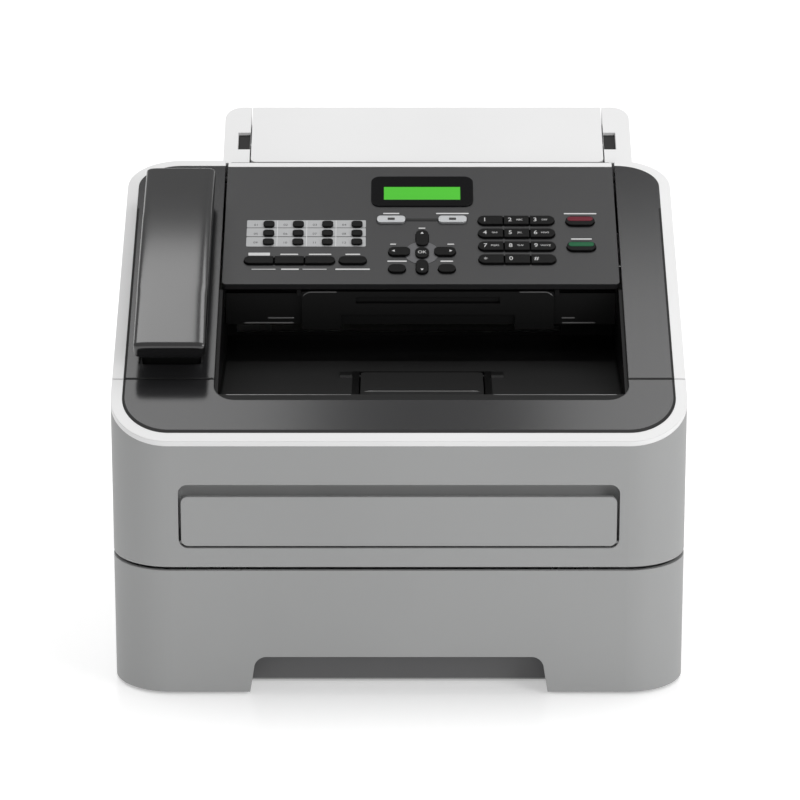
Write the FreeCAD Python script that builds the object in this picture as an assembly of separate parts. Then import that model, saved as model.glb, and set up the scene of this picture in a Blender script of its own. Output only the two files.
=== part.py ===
"""Compact laser fax machine with a handset, built from separate pieces.

While modelling, y counts back from the front face; export() moves every piece so that the origin is the
middle of the footprint on the floor, with +X to the viewer's right, +Y to the back and +Z up (millimetres).
Deck coordinates (x, v, w) lie on the sloped top: v runs up the slope from the front edge, w is the height
above it.
"""
import FreeCAD
import Part
import math
import os
from FreeCAD import Placement, Rotation, Vector

# Overall sizes
WIDTH = 368.0
DEPTH = 360.0
HEIGHT = 312.0
DOOR_BULGE = 12.0
CORNER_R = 38.5
REAR_CORNER_R = 36.0
DECK_FRONT_Z = 171.4
DECK_ANGLE = 24.4
RIDGE_Y = 259.0
SHOULDER_Z = 190.0
FOOT_H = 4.0
WALL = 2.5

# Clearances
GAP = 0.4
SEAM_GAP = 0.8
RUN = 0.05
PLAY = 0.3

# Rim and seams
RIM_W = 7.3
RIM_T = 3.0
SEAM_Y = 54.0
TRAY_BOTTOM_Z = 2.0
TRAY_TOP_Z = 84.9
COVER_BOTTOM_Z = 86.8

# Output tray opening and control panel, in deck coordinates
OPEN_X0 = -118.5
OPEN_X1 = 147.3
OPEN_V = 39.2
OPEN_R = 14.0
LIP_V = 47.8
LIP_DROP = 3.0
PANEL_GAP = 1.6
PANEL_V0 = 153.5
PANEL_V1 = 282.5
PANEL_T = 14.0
PANEL_SKIN = 3.0
PANEL_LIP = 4.5
PANEL_LIP_V = 7.5
PANEL_R = 3.0
PANEL_PIVOT_V = 274.5
PANEL_PIVOT_W = -9.0
PANEL_PIN_R = 2.0

# Paper output tray
FLOOR_Z = 181.0
TRAY_REAR_Y = 205.0
EXIT_SLOT_H = 12.0
FLAP_X0 = -25.0
FLAP_X1 = 55.0
FLAP_Y0 = 52.0
FLAP_Y1 = 117.0
FLAP_T = 3.5
FLAP_PIVOT_Y = 112.5
FLAP_PIN_R = 1.2
POCKET_DEPTH = 7.0

# Document chute at the back
CHUTE_X0 = -120.6
CHUTE_X1 = 159.8
CHUTE_W = -4.0
CHUTE_V0 = 287.0
SUPPORT_X0 = -101.8
SUPPORT_X1 = 140.4
SUPPORT_V0 = 288.0
SUPPORT_T = 3.0
SUPPORT_PIVOT_V = 311.3
SUPPORT_PIVOT_DROP = 4.5
SUPPORT_PIN_R = 1.5
EAR_T = 9.0
EAR_R = 12.0
NOTCH_L = 18.6
NOTCH_W = 8.4
NOTCH_D = 2.2

# Document feeder under the control panel
GUIDE_W = -15.5
GUIDE_T = 2.5
GUIDE_V0 = 167.0
GUIDE_V1 = 264.0
GUIDE_WALL_H = 18.5
APRON_Y = 150.5
APRON_Z0 = 204.0
APRON_Z1 = 225.6
EXIT_X0 = -64.5
EXIT_X1 = 102.9
EXIT_Y = 146.9
EXIT_TOP_Z = 229.0
EXIT_BOTTOM_Z = 201.5
EXIT_T = 2.5
EXIT_PIN_R = 1.0
SENSOR_V0 = 205.0
SENSOR_L = 15.0
SENSOR_H = 12.0
FEED_V = 245.0
FEED_R = 7.0
FEED_SHAFT_R = 3.0

# Front cover and manual-feed cover
COVER_WALL = 3.0
HINGE_Y = 4.5
HINGE_Z = 91.0
HINGE_PIN_R = 1.5
KNUCKLE_R = 3.1
KNUCKLE_X = 130.0
KNUCKLE_L = 6.0
BEAD_D = 9.0
BEAD_TOP_Z = 95.0
FEED_W = 276.6
FEED_Z0 = 101.5
FEED_Z1 = 134.4
FEED_T = 3.5
FEED_R_CORNER = 6.0
FEED_GAP = 1.7
RECESS_TOP_Z = 142.4
RECESS_D = 10.0
FEED_PIVOT_Y = 2.2
FEED_PIVOT_Z = 103.5
FEED_PIN_R = 1.0
SLOT_W = 220.0
SLOT_H = 8.0

# Paper tray
GRIP_TOP_W = 186.0
GRIP_BOTTOM_W = 191.5
GRIP_TOP_Z = 25.9
GRIP_R = 8.0
GRIP_D = 22.0
BIN_W = 235.0
BIN_END_GAP = 14.0
BIN_Z0 = 7.0
BIN_TOP_Z = 58.0
LIFT_W = 200.0
LIFT_Y1 = 168.0
LIFT_T = 1.2
LIFT_PIN_R = 1.0
GUIDE_PLATE_T = 3.0
GUIDE_PLATE_H = 40.0
GUIDE_PLATE_L = 70.0
GUIDE_PLATE_Y = 185.0
GUIDE_REST_X = 106.0
REAR_GUIDE_W = 40.0
REAR_GUIDE_H = 34.0

# Inner frame and print engine
FRAME_X = 124.0
FRAME_T = 2.5
FRAME_Y0 = 58.0
FRAME_Y1 = 342.0
FRAME_TOP_Z = 166.0
PICKUP_Y = 75.0
PICKUP_Z = 76.0
PICKUP_R = 12.0
PICKUP_W = 52.0
SHAFT_R = 4.0
DRUM_Y = 140.0
DRUM_Z = 98.0
DRUM_R = 12.0
ROLLER_W = 222.0
MODULE = 1.5
DRUM_TEETH = 32
IDLER_TEETH = 60
FUSER_TEETH = 24
PINION_TEETH = 16
PINION_AT_TOOTH = 13
GEAR_X0 = 128.0
GEAR_W = 6.0
PRESSURE_ANGLE = 20.0
ADDENDUM = 0.8
DEDENDUM = 1.25
BACKLASH = 0.4
FUSER_R = 12.0
MOTOR_R = 18.0
MOTOR_L = 24.0
MOTOR_SHAFT_R = 2.5
LASER_W = 210.0
LASER_Y0 = 152.0
LASER_Y1 = 246.0
LASER_H = 34.0
SHELF_Z = 125.0
SHELF_T = 2.0
TONER_Y0 = 66.0
TONER_Y1 = 140.0
TONER_Z0 = 96.0
TONER_Z1 = 150.0
BOARD_T = 1.6
STANDOFF_L = 14.0
STANDOFF_R = 3.0
SPEAKER_R = 20.0
SPEAKER_L = 14.0
SPEAKER_Y = 78.0
SPEAKER_Z = 132.0

# Circuit boards and feet
BOARD_MAIN_L = 110.0
BOARD_POWER_L = 98.0
BOARD_GAP = 10.0
BOARD_REAR_GAP = 18.0
BOARD_Z0 = 40.0
BOARD_Z1 = 150.0
FEET_R = 9.0
FEET_SIDE = 34.0
FEET_FRONT = 80.0
FEET_REAR = 30.0

# Rear
DOOR_W = 220.0
DOOR_Z0 = 72.0
DOOR_Z1 = 168.0
DOOR_PLATE = 6.0
DOOR_BEAD_R = 3.0
DOOR_PIN_R = 1.5
DOOR_BULGE_INSET = 15.0
JACK_W = 14.0
JACK_H = 12.0
JACK_D = 16.0
SOCKET_X = 142.6
JACK_Z = (66.0, 86.0)
INLET_W = 26.0
INLET_H = 22.0
INLET_Z = 36.0
SOCKET_WALL = 1.5
HANDSET_JACK_Y = 210.0
HANDSET_JACK_Z = 120.0
SCREW_R = 1.5
SCREW_HEAD_R = 3.5
SCREW_HEAD_H = 2.2
SCREW_L = 8.0

# Handset, in deck coordinates
HANDSET_X = -146.8
HANDSET_W = 46.4
HANDSET_V0 = 65.0
HANDSET_V1 = 248.0
HANDSET_TOP = 24.0
HANDSET_CROWN = 5.0
HANDSET_UNDER = 12.0
HANDSET_GRIP_UNDER = 15.5
HANDSET_R = 8.0
CAP_L = 38.0
CAP_INSET = 10.0
CAP_SIDE = 4.0
CUP_D = 4.0
CUP_FLOOR = 2.0
CUP_GAP = 1.5
PLUNGER_W = 8.0
PLUNGER_L = 15.0
PLUNGER_V = 226.0

# Keys
KEY_RISE = 1.5
KEY_FLANGE = 0.8
KEY_FLANGE_T = 1.3
KEY_GAP = 0.3
KEY_SPLIT = 1.0
KEY_TRAVEL = 1.0

# Display
BEZEL = (-18.8, 50.2, 234.4, 266.2)
BEZEL_R = 6.0
BEZEL_T = 0.8
SCREEN = (-10.2, 41.5, 241.1, 254.9)
SCREEN_T = 0.6

# Values worked out from those above
BODY_DEPTH = DEPTH - DOOR_BULGE
BIN_END_Y = BODY_DEPTH - BIN_END_GAP
SLOPE = math.radians(DECK_ANGLE)
CHUTE_V1 = (HEIGHT - DECK_FRONT_Z - CHUTE_W * math.cos(SLOPE)) / math.sin(SLOPE)
RIDGE_Z = DECK_FRONT_Z + RIDGE_Y * math.tan(SLOPE)
REAR_RUN = (BODY_DEPTH - RIDGE_Y) / (RIDGE_Z - SHOULDER_Z)
LOFT_TOP_Z = RIDGE_Z + 10.0
DECK = Placement(Vector(0, 0, DECK_FRONT_Z), Rotation(Vector(1, 0, 0), DECK_ANGLE))
PANEL_X0 = OPEN_X0 + PANEL_GAP
PANEL_X1 = OPEN_X1 - PANEL_GAP
LEFT_SPLIT = CHUTE_X0 - GAP
RIGHT_SPLIT = CHUTE_X1 + GAP
FAR = 600.0
DRUM_GEAR_R = MODULE * DRUM_TEETH / 2
IDLER_R = MODULE * IDLER_TEETH / 2
FUSER_GEAR_R = MODULE * FUSER_TEETH / 2
PINION_R = MODULE * PINION_TEETH / 2
IDLER_Y = DRUM_Y + DRUM_GEAR_R + IDLER_R
FUSER_Y = IDLER_Y + IDLER_R + FUSER_GEAR_R
PINION_DIR = 2 * math.pi * PINION_AT_TOOTH / DRUM_TEETH
PINION_Y = DRUM_Y + (DRUM_GEAR_R + PINION_R) * math.cos(PINION_DIR)
PINION_Z = DRUM_Z + (DRUM_GEAR_R + PINION_R) * math.sin(PINION_DIR)
MOTOR_X = GEAR_X0 + GEAR_W + 2.5
BEARING_END_X = FRAME_X + FRAME_T


# Shape helpers
def box(x0, x1, y0, y1, z0, z1):
    """Box between two corners."""
    return Part.makeBox(x1 - x0, y1 - y0, z1 - z0, Vector(x0, y0, z0))


def rod(x0, x1, y, z, r):
    """Cylinder along X."""
    return Part.makeCylinder(r, x1 - x0, Vector(x0, y, z), Vector(1, 0, 0))


def prism(points, x0, x1):
    """Polygon of (y, z) points drawn out along X."""
    wire = Part.makePolygon([Vector(x0, y, z) for y, z in points + points[:1]])
    return Part.Face(wire).extrude(Vector(x1 - x0, 0, 0))


def rounded_wire(x0, x1, y0, y1, z, r_front, r_rear):
    """Rectangle in plan with round front and rear corners."""
    d = math.sqrt(0.5)
    corners = (
        (x1, y0, -1, 1, r_front),
        (x1, y1, -1, -1, r_rear),
        (x0, y1, 1, -1, r_rear),
        (x0, y0, 1, 1, r_front),
    )
    arcs = []
    for x, y, sx, sy, r in corners:
        cx, cy = x + sx * r, y + sy * r
        on_x = Vector(x, cy, z)
        on_y = Vector(cx, y, z)
        mid = Vector(cx - sx * r * d, cy - sy * r * d, z)
        ends = (on_y, on_x) if sx * sy < 0 else (on_x, on_y)
        arcs.append((ends[0], mid, ends[1]))
    edges = []
    for n, (start, mid, end) in enumerate(arcs):
        edges.append(Part.Arc(start, mid, end).toShape())
        edges.append(Part.makeLine(end, arcs[(n + 1) % 4][0]))
    return Part.Wire(edges)


def slab(x0, x1, y0, y1, z0, z1, r):
    """Upright plate with its four corners rounded in plan."""
    face = Part.Face(rounded_wire(x0, x1, y0, y1, z0, r, r))
    return face.extrude(Vector(0, 0, z1 - z0))


def on_deck(shape):
    """Shape drawn in deck coordinates, put in its place."""
    placed = shape.copy()
    placed.Placement = DECK.multiply(placed.Placement)
    return placed


def deck_box(x0, x1, v0, v1, w0, w1):
    """Box in deck coordinates."""
    return on_deck(box(x0, x1, v0, v1, w0, w1))


def deck_rod(x0, x1, v, w, r):
    """Cylinder along X in deck coordinates."""
    return on_deck(rod(x0, x1, v, w, r))


def deck_yz(v, w):
    """Place (y, z) of a point on the deck."""
    return (
        v * math.cos(SLOPE) - w * math.sin(SLOPE),
        DECK_FRONT_Z + v * math.sin(SLOPE) + w * math.cos(SLOPE),
    )


def layer(w0, w1):
    """All of the space between two heights above the deck."""
    return deck_box(-FAR, FAR, -FAR, FAR, w0, w1)


def join(shapes):
    """Union of several shapes, with merged faces."""
    return shapes[0].fuse(list(shapes[1:])).removeSplitter()


def mirror(shape):
    """Mirror image to the other side."""
    return shape.mirror(Vector(0, 0, 0), Vector(1, 0, 0))


def plan(inset, depth, z):
    """Outline of the body in plan, drawn in by inset."""
    half = WIDTH / 2 - inset
    return rounded_wire(-half, half, inset, depth - inset, z, CORNER_R - inset, REAR_CORNER_R - inset)


def plan_prism(inset, z0, z1):
    """Upright block on the body's outline."""
    return Part.Face(plan(inset, BODY_DEPTH, z0)).extrude(Vector(0, 0, z1 - z0))


def body(inset):
    """Body with upright sides and a rear wall that leans forward above the shoulder."""
    top_depth = BODY_DEPTH - REAR_RUN * (LOFT_TOP_Z - SHOULDER_Z)
    low, high = plan(inset, BODY_DEPTH, SHOULDER_Z), plan(inset, top_depth, LOFT_TOP_Z)
    return plan_prism(inset, FOOT_H, SHOULDER_Z).fuse(Part.makeLoft([low, high], True, True)).removeSplitter()


def behind_seam():
    """Space behind the seam of the front cover."""
    return box(-FAR, FAR, SEAM_Y + SEAM_GAP / 2, FAR, -FAR, FAR)


def before_seam():
    """Space in front of the seam of the front cover."""
    return box(-FAR, FAR, -FAR, SEAM_Y - SEAM_GAP / 2, -FAR, FAR)


def gear(teeth, y, z, first):
    """Spur gear with involute flanks along X, one tooth centred at the angle first (from +Y to +Z)."""
    pitch = MODULE * teeth / 2
    base = pitch * math.cos(math.radians(PRESSURE_ANGLE))
    tip = pitch + ADDENDUM * MODULE
    root = pitch - DEDENDUM * MODULE
    involute = lambda r: math.tan(math.acos(min(1.0, base / r))) - math.acos(min(1.0, base / r))
    half = (math.pi * MODULE / 2 - BACKLASH / 2) / 2 / pitch + involute(pitch)
    radii = [root, max(root, base) + 0.02, pitch, tip]
    flank = [(r, half - involute(max(r, base))) for r in radii]
    points = []
    for n in range(teeth):
        centre = first + 2 * math.pi * n / teeth
        for r, a in flank:
            points.append((y + r * math.cos(centre - a), z + r * math.sin(centre - a)))
        for r, a in reversed(flank):
            points.append((y + r * math.cos(centre + a), z + r * math.sin(centre + a)))
    return prism(points, GEAR_X0, GEAR_X0 + GEAR_W)


# Housing
def side_shell():
    """Outer wall of the body below the rim, behind the front cover."""
    wall = body(0).cut(body(WALL)).cut(layer(-RIM_T, FAR))
    return wall.common(behind_seam())


def side_cover(shell, left):
    """Left or right side cover with the rear corner; the left one has vents and the handset socket's hole."""
    reach = box(-FAR, LEFT_SPLIT, 0, FAR, 0, FAR) if left else box(RIGHT_SPLIT, FAR, 0, FAR, 0, FAR)
    cover = shell.common(reach)
    vent_l, vent_w, vent_step = 46.0, 4.0, 10.0
    side_x = -WIDTH / 2 if left else WIDTH / 2
    for n in range(8):
        y0 = 262.0 + n * vent_step
        cover = cover.cut(box(side_x - WALL * 2, side_x + WALL * 2, y0, y0 + vent_w, 70.0, 70.0 + vent_l))
    if left:
        cover = cover.cut(handset_jack_block(GAP / 2, 2 * WALL))
    return cover


def rear_panel(shell):
    """Upright rear wall with the door opening, socket holes, screw holes and hinge ears."""
    reach = box(LEFT_SPLIT + GAP, RIGHT_SPLIT - GAP, BODY_DEPTH / 2, FAR, 0, SHOULDER_Z - GAP)
    panel = shell.common(reach)
    edge = 10.0
    door_half = DOOR_W / 2 - edge
    panel = panel.cut(box(-door_half, door_half, 0, FAR, DOOR_Z0 + edge, DOOR_Z1 - edge))
    ear_x = DOOR_W / 2 + PLAY
    ears = []
    for side in (-1, 1):
        x0, x1 = sorted((side * ear_x, side * (ear_x + 3.0)))
        ear = prism(door_ear_profile(), x0, x1)
        ears.append(ear.cut(rod(x0, x1, door_pivot()[0], door_pivot()[1], DOOR_PIN_R + RUN)))
    panel = join([panel] + ears)
    for w, h, z in rear_sockets():
        panel = panel.cut(jack_block(w + GAP, h + GAP, z))
    for x, z in screw_places():
        hole = Part.makeCylinder(SCREW_R + RUN, 4 * WALL, Vector(x, BODY_DEPTH - 2 * WALL, z), Vector(0, 1, 0))
        panel = panel.cut(hole)
    return panel


def door_pivot():
    """Hinge axis of the rear cover, as (y, z)."""
    return BODY_DEPTH + GAP + DOOR_BEAD_R, DOOR_Z0


def door_ear_profile():
    """Hinge ear on the rear panel, standing out round the rear cover's pin."""
    y, z = door_pivot()
    inner = BODY_DEPTH - WALL
    return [(inner, z - 6), (BODY_DEPTH, z - 6), (y + 3, z - 3), (y + 3, z + 3), (inner, z + 6)]


def rear_cover():
    """Rear cover, hinged along its lower edge, with a raised hollow middle."""
    y, z = door_pivot()
    half = DOOR_W / 2
    plate = box(-half, half, BODY_DEPTH + GAP, BODY_DEPTH + GAP + DOOR_PLATE, z, DOOR_Z1)
    bead = rod(-half, half, y, z, DOOR_BEAD_R)
    pins = rod(-half - 2.8, half + 2.8, y, z, DOOR_PIN_R)
    inset = DOOR_BULGE_INSET
    bulge = slab(-half + inset, half - inset, z + inset, DOOR_Z1 - inset / 2, 0, DOOR_BULGE - GAP, 8.0)
    bulge.Placement = Placement(Vector(0, BODY_DEPTH + GAP, 0), Rotation(Vector(1, 0, 0), 90))
    bulge = bulge.mirror(Vector(0, BODY_DEPTH + GAP, 0), Vector(0, 1, 0))
    cover = join([plate, bead, pins, bulge])
    hollow = box(-half + inset + 3, half - inset - 3, 0, DEPTH - 3.0, z + inset + 3, DOOR_Z1 - inset / 2 - 3)
    return cover.cut(hollow)


def rear_sockets():
    """Sockets in the rear panel, as (width, height, z): line, extension and mains."""
    return [(JACK_W, JACK_H, z) for z in JACK_Z] + [(INLET_W, INLET_H, INLET_Z)]


def jack_block(w, h, z):
    """Block standing through the rear panel, with its face flush outside."""
    x = SOCKET_X
    return box(x - w / 2, x + w / 2, BODY_DEPTH - JACK_D, BODY_DEPTH, z - h / 2, z + h / 2)


def handset_jack_block(grow, out):
    """Block standing through the left side cover, for the handset's cord."""
    half_w, half_h = JACK_W / 2 + grow, JACK_H / 2 + grow
    y, z = HANDSET_JACK_Y, HANDSET_JACK_Z
    return box(-WIDTH / 2 - out + WALL, -WIDTH / 2 + JACK_D, y - half_w, y + half_w, z - half_h, z + half_h)


def sockets():
    """Line, extension, handset and mains sockets, each an open cup."""
    solids = []
    wall = 2 * SOCKET_WALL
    for w, h, z in rear_sockets():
        hollow = jack_block(w - wall, h - wall, z).translated(Vector(0, SOCKET_WALL, 0))
        solids.append(jack_block(w, h, z).cut(hollow))
    block = handset_jack_block(0, WALL)
    hollow = handset_jack_block(-SOCKET_WALL, WALL).translated(Vector(-SOCKET_WALL, 0, 0))
    return Part.makeCompound(solids + [block.cut(hollow)])


def screw_places():
    """Places (x, z) of the rear panel's screws."""
    return [(LEFT_SPLIT + 7, 14.0), (RIGHT_SPLIT - 7, 14.0), (LEFT_SPLIT + 7, 180.0), (RIGHT_SPLIT - 7, 180.0)]


def frame_screws():
    """Pan-head screws of the rear panel."""
    screws = []
    for x, z in screw_places():
        head = Part.makeCylinder(SCREW_HEAD_R, SCREW_HEAD_H, Vector(x, BODY_DEPTH, z), Vector(0, 1, 0))
        shank = Part.makeCylinder(SCREW_R, SCREW_L, Vector(x, BODY_DEPTH - SCREW_L, z), Vector(0, 1, 0))
        screws.append(head.fuse(shank))
    return Part.makeCompound(screws)


def rim_ring():
    """White band along the edge of the deck."""
    return body(0).cut(body(RIM_W)).common(layer(-RIM_T, 0))


def side_rim(ring):
    """Rim of the side covers, open behind the control panel."""
    return ring.common(behind_seam()).cut(box(OPEN_X0, OPEN_X1, BODY_DEPTH / 2, FAR, 0, FAR))


def deck_plate():
    """Dark top surface inside the rim."""
    return body(RIM_W).common(layer(-RIM_T, 0))


def cup_spans():
    """Start and end, up the slope, of the two cradle cups."""
    front = HANDSET_V0 + CAP_INSET
    rear = HANDSET_V1 - CAP_INSET
    return ((front - CUP_GAP, front + CAP_L + CUP_GAP), (rear - CAP_L - CUP_GAP, rear + CUP_GAP))


def deck_cover(plate):
    """Dark strips beside the control panel, with the handset's cups, the panel's hinge posts and a cross bar."""
    strips = plate.common(behind_seam()).cut(box(OPEN_X0, OPEN_X1, -FAR, FAR, -FAR, FAR))
    half = HANDSET_W / 2 - CAP_SIDE + CUP_GAP
    x0, x1 = HANDSET_X - half, HANDSET_X + half
    cups, hollows = [], []
    for v0, v1 in cup_spans():
        low = -CUP_D - CUP_FLOOR
        cups.append(deck_box(x0 - 2, x1 + 2, v0 - 2, v1 + 2, low, -RIM_T / 2))
        hollows.append(deck_box(x0, x1, v0, v1, -CUP_D, RIM_T))
    post_v0, post_v1, bar_w = PANEL_PIVOT_V - 7, PANEL_PIVOT_V + 5, -46.0
    post_t = 4.0
    left = deck_box(OPEN_X0 - post_t, OPEN_X0 - PLAY, post_v0, post_v1, bar_w, -RIM_T)
    right = deck_box(OPEN_X1 + PLAY, OPEN_X1 + post_t, post_v0, post_v1, bar_w, -RIM_T)
    bar = deck_box(OPEN_X0 - post_t, OPEN_X1 + post_t, post_v0, post_v1, bar_w - 4, bar_w)
    cover = join([strips] + cups + [left, right, bar])
    for hollow in hollows:
        cover = cover.cut(hollow)
    cover = cover.cut(deck_rod(-FAR, FAR, PANEL_PIVOT_V, PANEL_PIVOT_W, PANEL_PIN_R + RUN))
    side = PLUNGER_W / 2 + PLAY
    hole = deck_box(HANDSET_X - side, HANDSET_X + side, PLUNGER_V - side, PLUNGER_V + side, -FAR, 0)
    return cover.cut(hole)


def hook_switch():
    """Sprung plunger flush with the rear cup's floor, with a flange below it."""
    side = PLUNGER_W / 2
    x, v = HANDSET_X, PLUNGER_V
    stem = slab(x - side, x + side, v - side, v + side, -CUP_D - PLUNGER_L, -CUP_D, 1.5)
    low = -CUP_D - CUP_FLOOR - PLAY
    flange = box(x - side - 1.5, x + side + 1.5, v - side - 1.5, v + side + 1.5, low - 1.5, low)
    return on_deck(stem.fuse(flange).removeSplitter())


def output_tray():
    """Black well for printed pages: floor with the flap's pocket, side walls and a slotted rear wall."""
    x0, x1, t = OPEN_X0, OPEN_X1, WALL
    y0 = deck_yz(LIP_V + GAP, -LIP_DROP)[0] + GAP
    y1 = TRAY_REAR_Y
    rear_top = deck_yz(GUIDE_V0, GUIDE_W - GUIDE_WALL_H)[1] - GAP
    floor = box(x0, x1, y0, y1, FLOOR_Z - t, FLOOR_Z)
    sides = box(x0, x0 + t, y0, y1, FLOOR_Z - t, FAR).fuse(box(x1 - t, x1, y0, y1, FLOOR_Z - t, FAR))
    panel_room = deck_box(-FAR, FAR, PANEL_V0 - 2, FAR, GUIDE_W - GUIDE_WALL_H - GAP, FAR)
    rear = box(x0, x1, y1 - t, y1, FLOOR_Z - t, rear_top)
    slot = box(-SLOT_W / 2, SLOT_W / 2, 0, FAR, FLOOR_Z + 2, FLOOR_Z + 2 + EXIT_SLOT_H)
    pocket_box = box(FLAP_X0 - 8, FLAP_X1 + 8, y0, FLAP_Y1 + 4, FLOOR_Z - POCKET_DEPTH - t, FLOOR_Z)
    pocket = box(FLAP_X0 - 1, FLAP_X1 + 1, FLAP_Y0 - 1, FLAP_Y1 + 1, FLOOR_Z - POCKET_DEPTH, FAR)
    pins = rod(FLAP_X0 - 4, FLAP_X1 + 4, FLAP_PIVOT_Y, flap_pivot_z(), FLAP_PIN_R + RUN)
    tray = join([floor, sides.cut(layer(-RIM_T, FAR)).cut(panel_room), rear.cut(slot), pocket_box])
    return tray.cut(pocket).cut(pins)


def flap_pivot_z():
    """Height of the support flap's pins."""
    return FLOOR_Z - FLAP_T / 2


def support_flap():
    """Flap in the floor of the output tray; its front edge lifts about the pins near its rear edge."""
    plate = slab(FLAP_X0, FLAP_X1, FLAP_Y0, FLAP_Y1, FLOOR_Z - FLAP_T, FLOOR_Z, 3.0)
    pins = rod(FLAP_X0 - 3.6, FLAP_X1 + 3.6, FLAP_PIVOT_Y, flap_pivot_z(), FLAP_PIN_R)
    finger = box(5.0, 25.0, FLAP_Y0 - 1, FLAP_Y0 + 5, FLOOR_Z - FLAP_T, FLOOR_Z - FLAP_T / 2)
    return plate.fuse(pins).removeSplitter().cut(finger)


def document_chute():
    """White chute behind the panel: two thick ears with round rear corners, a rear wall and a sloping skirt."""
    front = deck_yz(CHUTE_V0, CHUTE_W)
    top = deck_yz(CHUTE_V1, CHUTE_W)
    skirt_z = SHOULDER_Z + (BODY_DEPTH - top[0]) / REAR_RUN
    foot = (BODY_DEPTH, SHOULDER_Z)
    under_front = (front[0], SHOULDER_Z + (BODY_DEPTH - front[0]) / REAR_RUN)
    outline = [front, top, (top[0], skirt_z), under_front]
    ear_front = deck_yz(CHUTE_V0, CHUTE_W - EAR_T)
    ear_top = deck_yz(CHUTE_V1, CHUTE_W - EAR_T)
    rear_y = top[0] - WALL
    ears = prism([front, top, ear_top, ear_front], CHUTE_X0, CHUTE_X1)
    ears = ears.common(box(-FAR, FAR, 0, top[0], 0, FAR))
    wall = box(CHUTE_X0, CHUTE_X1, rear_y, top[0], skirt_z, HEIGHT).cut(layer(CHUTE_W, FAR))
    skirt_in = skirt_z + WALL * 0.2
    skirt = prism(
        [(top[0], skirt_z), foot, (BODY_DEPTH - WALL, SHOULDER_Z), (rear_y, skirt_z - WALL), (rear_y, skirt_in)],
        CHUTE_X0,
        CHUTE_X1,
    )
    sides = prism(outline, CHUTE_X0, CHUTE_X0 + WALL).fuse(prism(outline, CHUTE_X1 - WALL, CHUTE_X1))
    upper = join([ears, wall, sides] + ear_posts(top[0], skirt_z))
    plan_face = Part.Face(rounded_wire(CHUTE_X0, CHUTE_X1, 0, top[0], 0, EAR_R, EAR_R))
    chute = join([upper.common(plan_face.extrude(Vector(0, 0, FAR))), skirt])
    x0, x1 = SUPPORT_X0 - SEAM_GAP, SUPPORT_X1 + SEAM_GAP
    chute = chute.cut(deck_box(x0, x1, 0, FAR, CHUTE_W - EAR_T - WALL, FAR))
    v0 = SUPPORT_PIVOT_V - NOTCH_L / 2
    for a, b in ((x0 - NOTCH_W, x0), (x1, x1 + NOTCH_W)):
        chute = chute.cut(deck_box(a, b, v0, v0 + NOTCH_L, CHUTE_W - NOTCH_D, FAR))
    return chute.cut(deck_rod(x0 - 8, x1 + 8, SUPPORT_PIVOT_V, support_pivot_w(), SUPPORT_PIN_R + RUN))


def ear_posts(rear_y, low_z):
    """Solid corners of the chute, which its round rear corners are cut from."""
    size = EAR_R + WALL
    posts = []
    for x0, x1 in ((CHUTE_X0, CHUTE_X0 + size), (CHUTE_X1 - size, CHUTE_X1)):
        post = box(x0, x1, rear_y - size, rear_y, low_z, HEIGHT)
        posts.append(post.cut(layer(CHUTE_W, FAR)))
    return posts


def support_pivot_w():
    """Height, from the deck, of the document support's pins."""
    return CHUTE_W - SUPPORT_PIVOT_DROP


def document_support():
    """White panel between the ears; its rear edge lifts about the pins."""
    x0, x1 = SUPPORT_X0, SUPPORT_X1
    plate = slab(x0, x1, SUPPORT_V0, CHUTE_V1 + 20, CHUTE_W - SUPPORT_T, CHUTE_W, 4.0)
    plate = on_deck(plate).common(box(-FAR, FAR, 0, deck_yz(CHUTE_V1, CHUTE_W)[0], 0, FAR))
    w = support_pivot_w()
    lugs = []
    for a, b in ((x0, x0 + 6), (x1 - 6, x1)):
        lugs.append(deck_box(a, b, SUPPORT_PIVOT_V - 5, SUPPORT_PIVOT_V + 5, w - 3, CHUTE_W - SUPPORT_T))
    pins = [deck_rod(x0 - 7, x0 + 4, SUPPORT_PIVOT_V, w, SUPPORT_PIN_R)]
    pins.append(deck_rod(x1 - 4, x1 + 7, SUPPORT_PIVOT_V, w, SUPPORT_PIN_R))
    return join([plate] + lugs + pins)


# Document feeder
def guide_span():
    """Left and right edge of the feeder's lower guide."""
    return PANEL_X0 + 2.0, PANEL_X1 - 2.0


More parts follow.
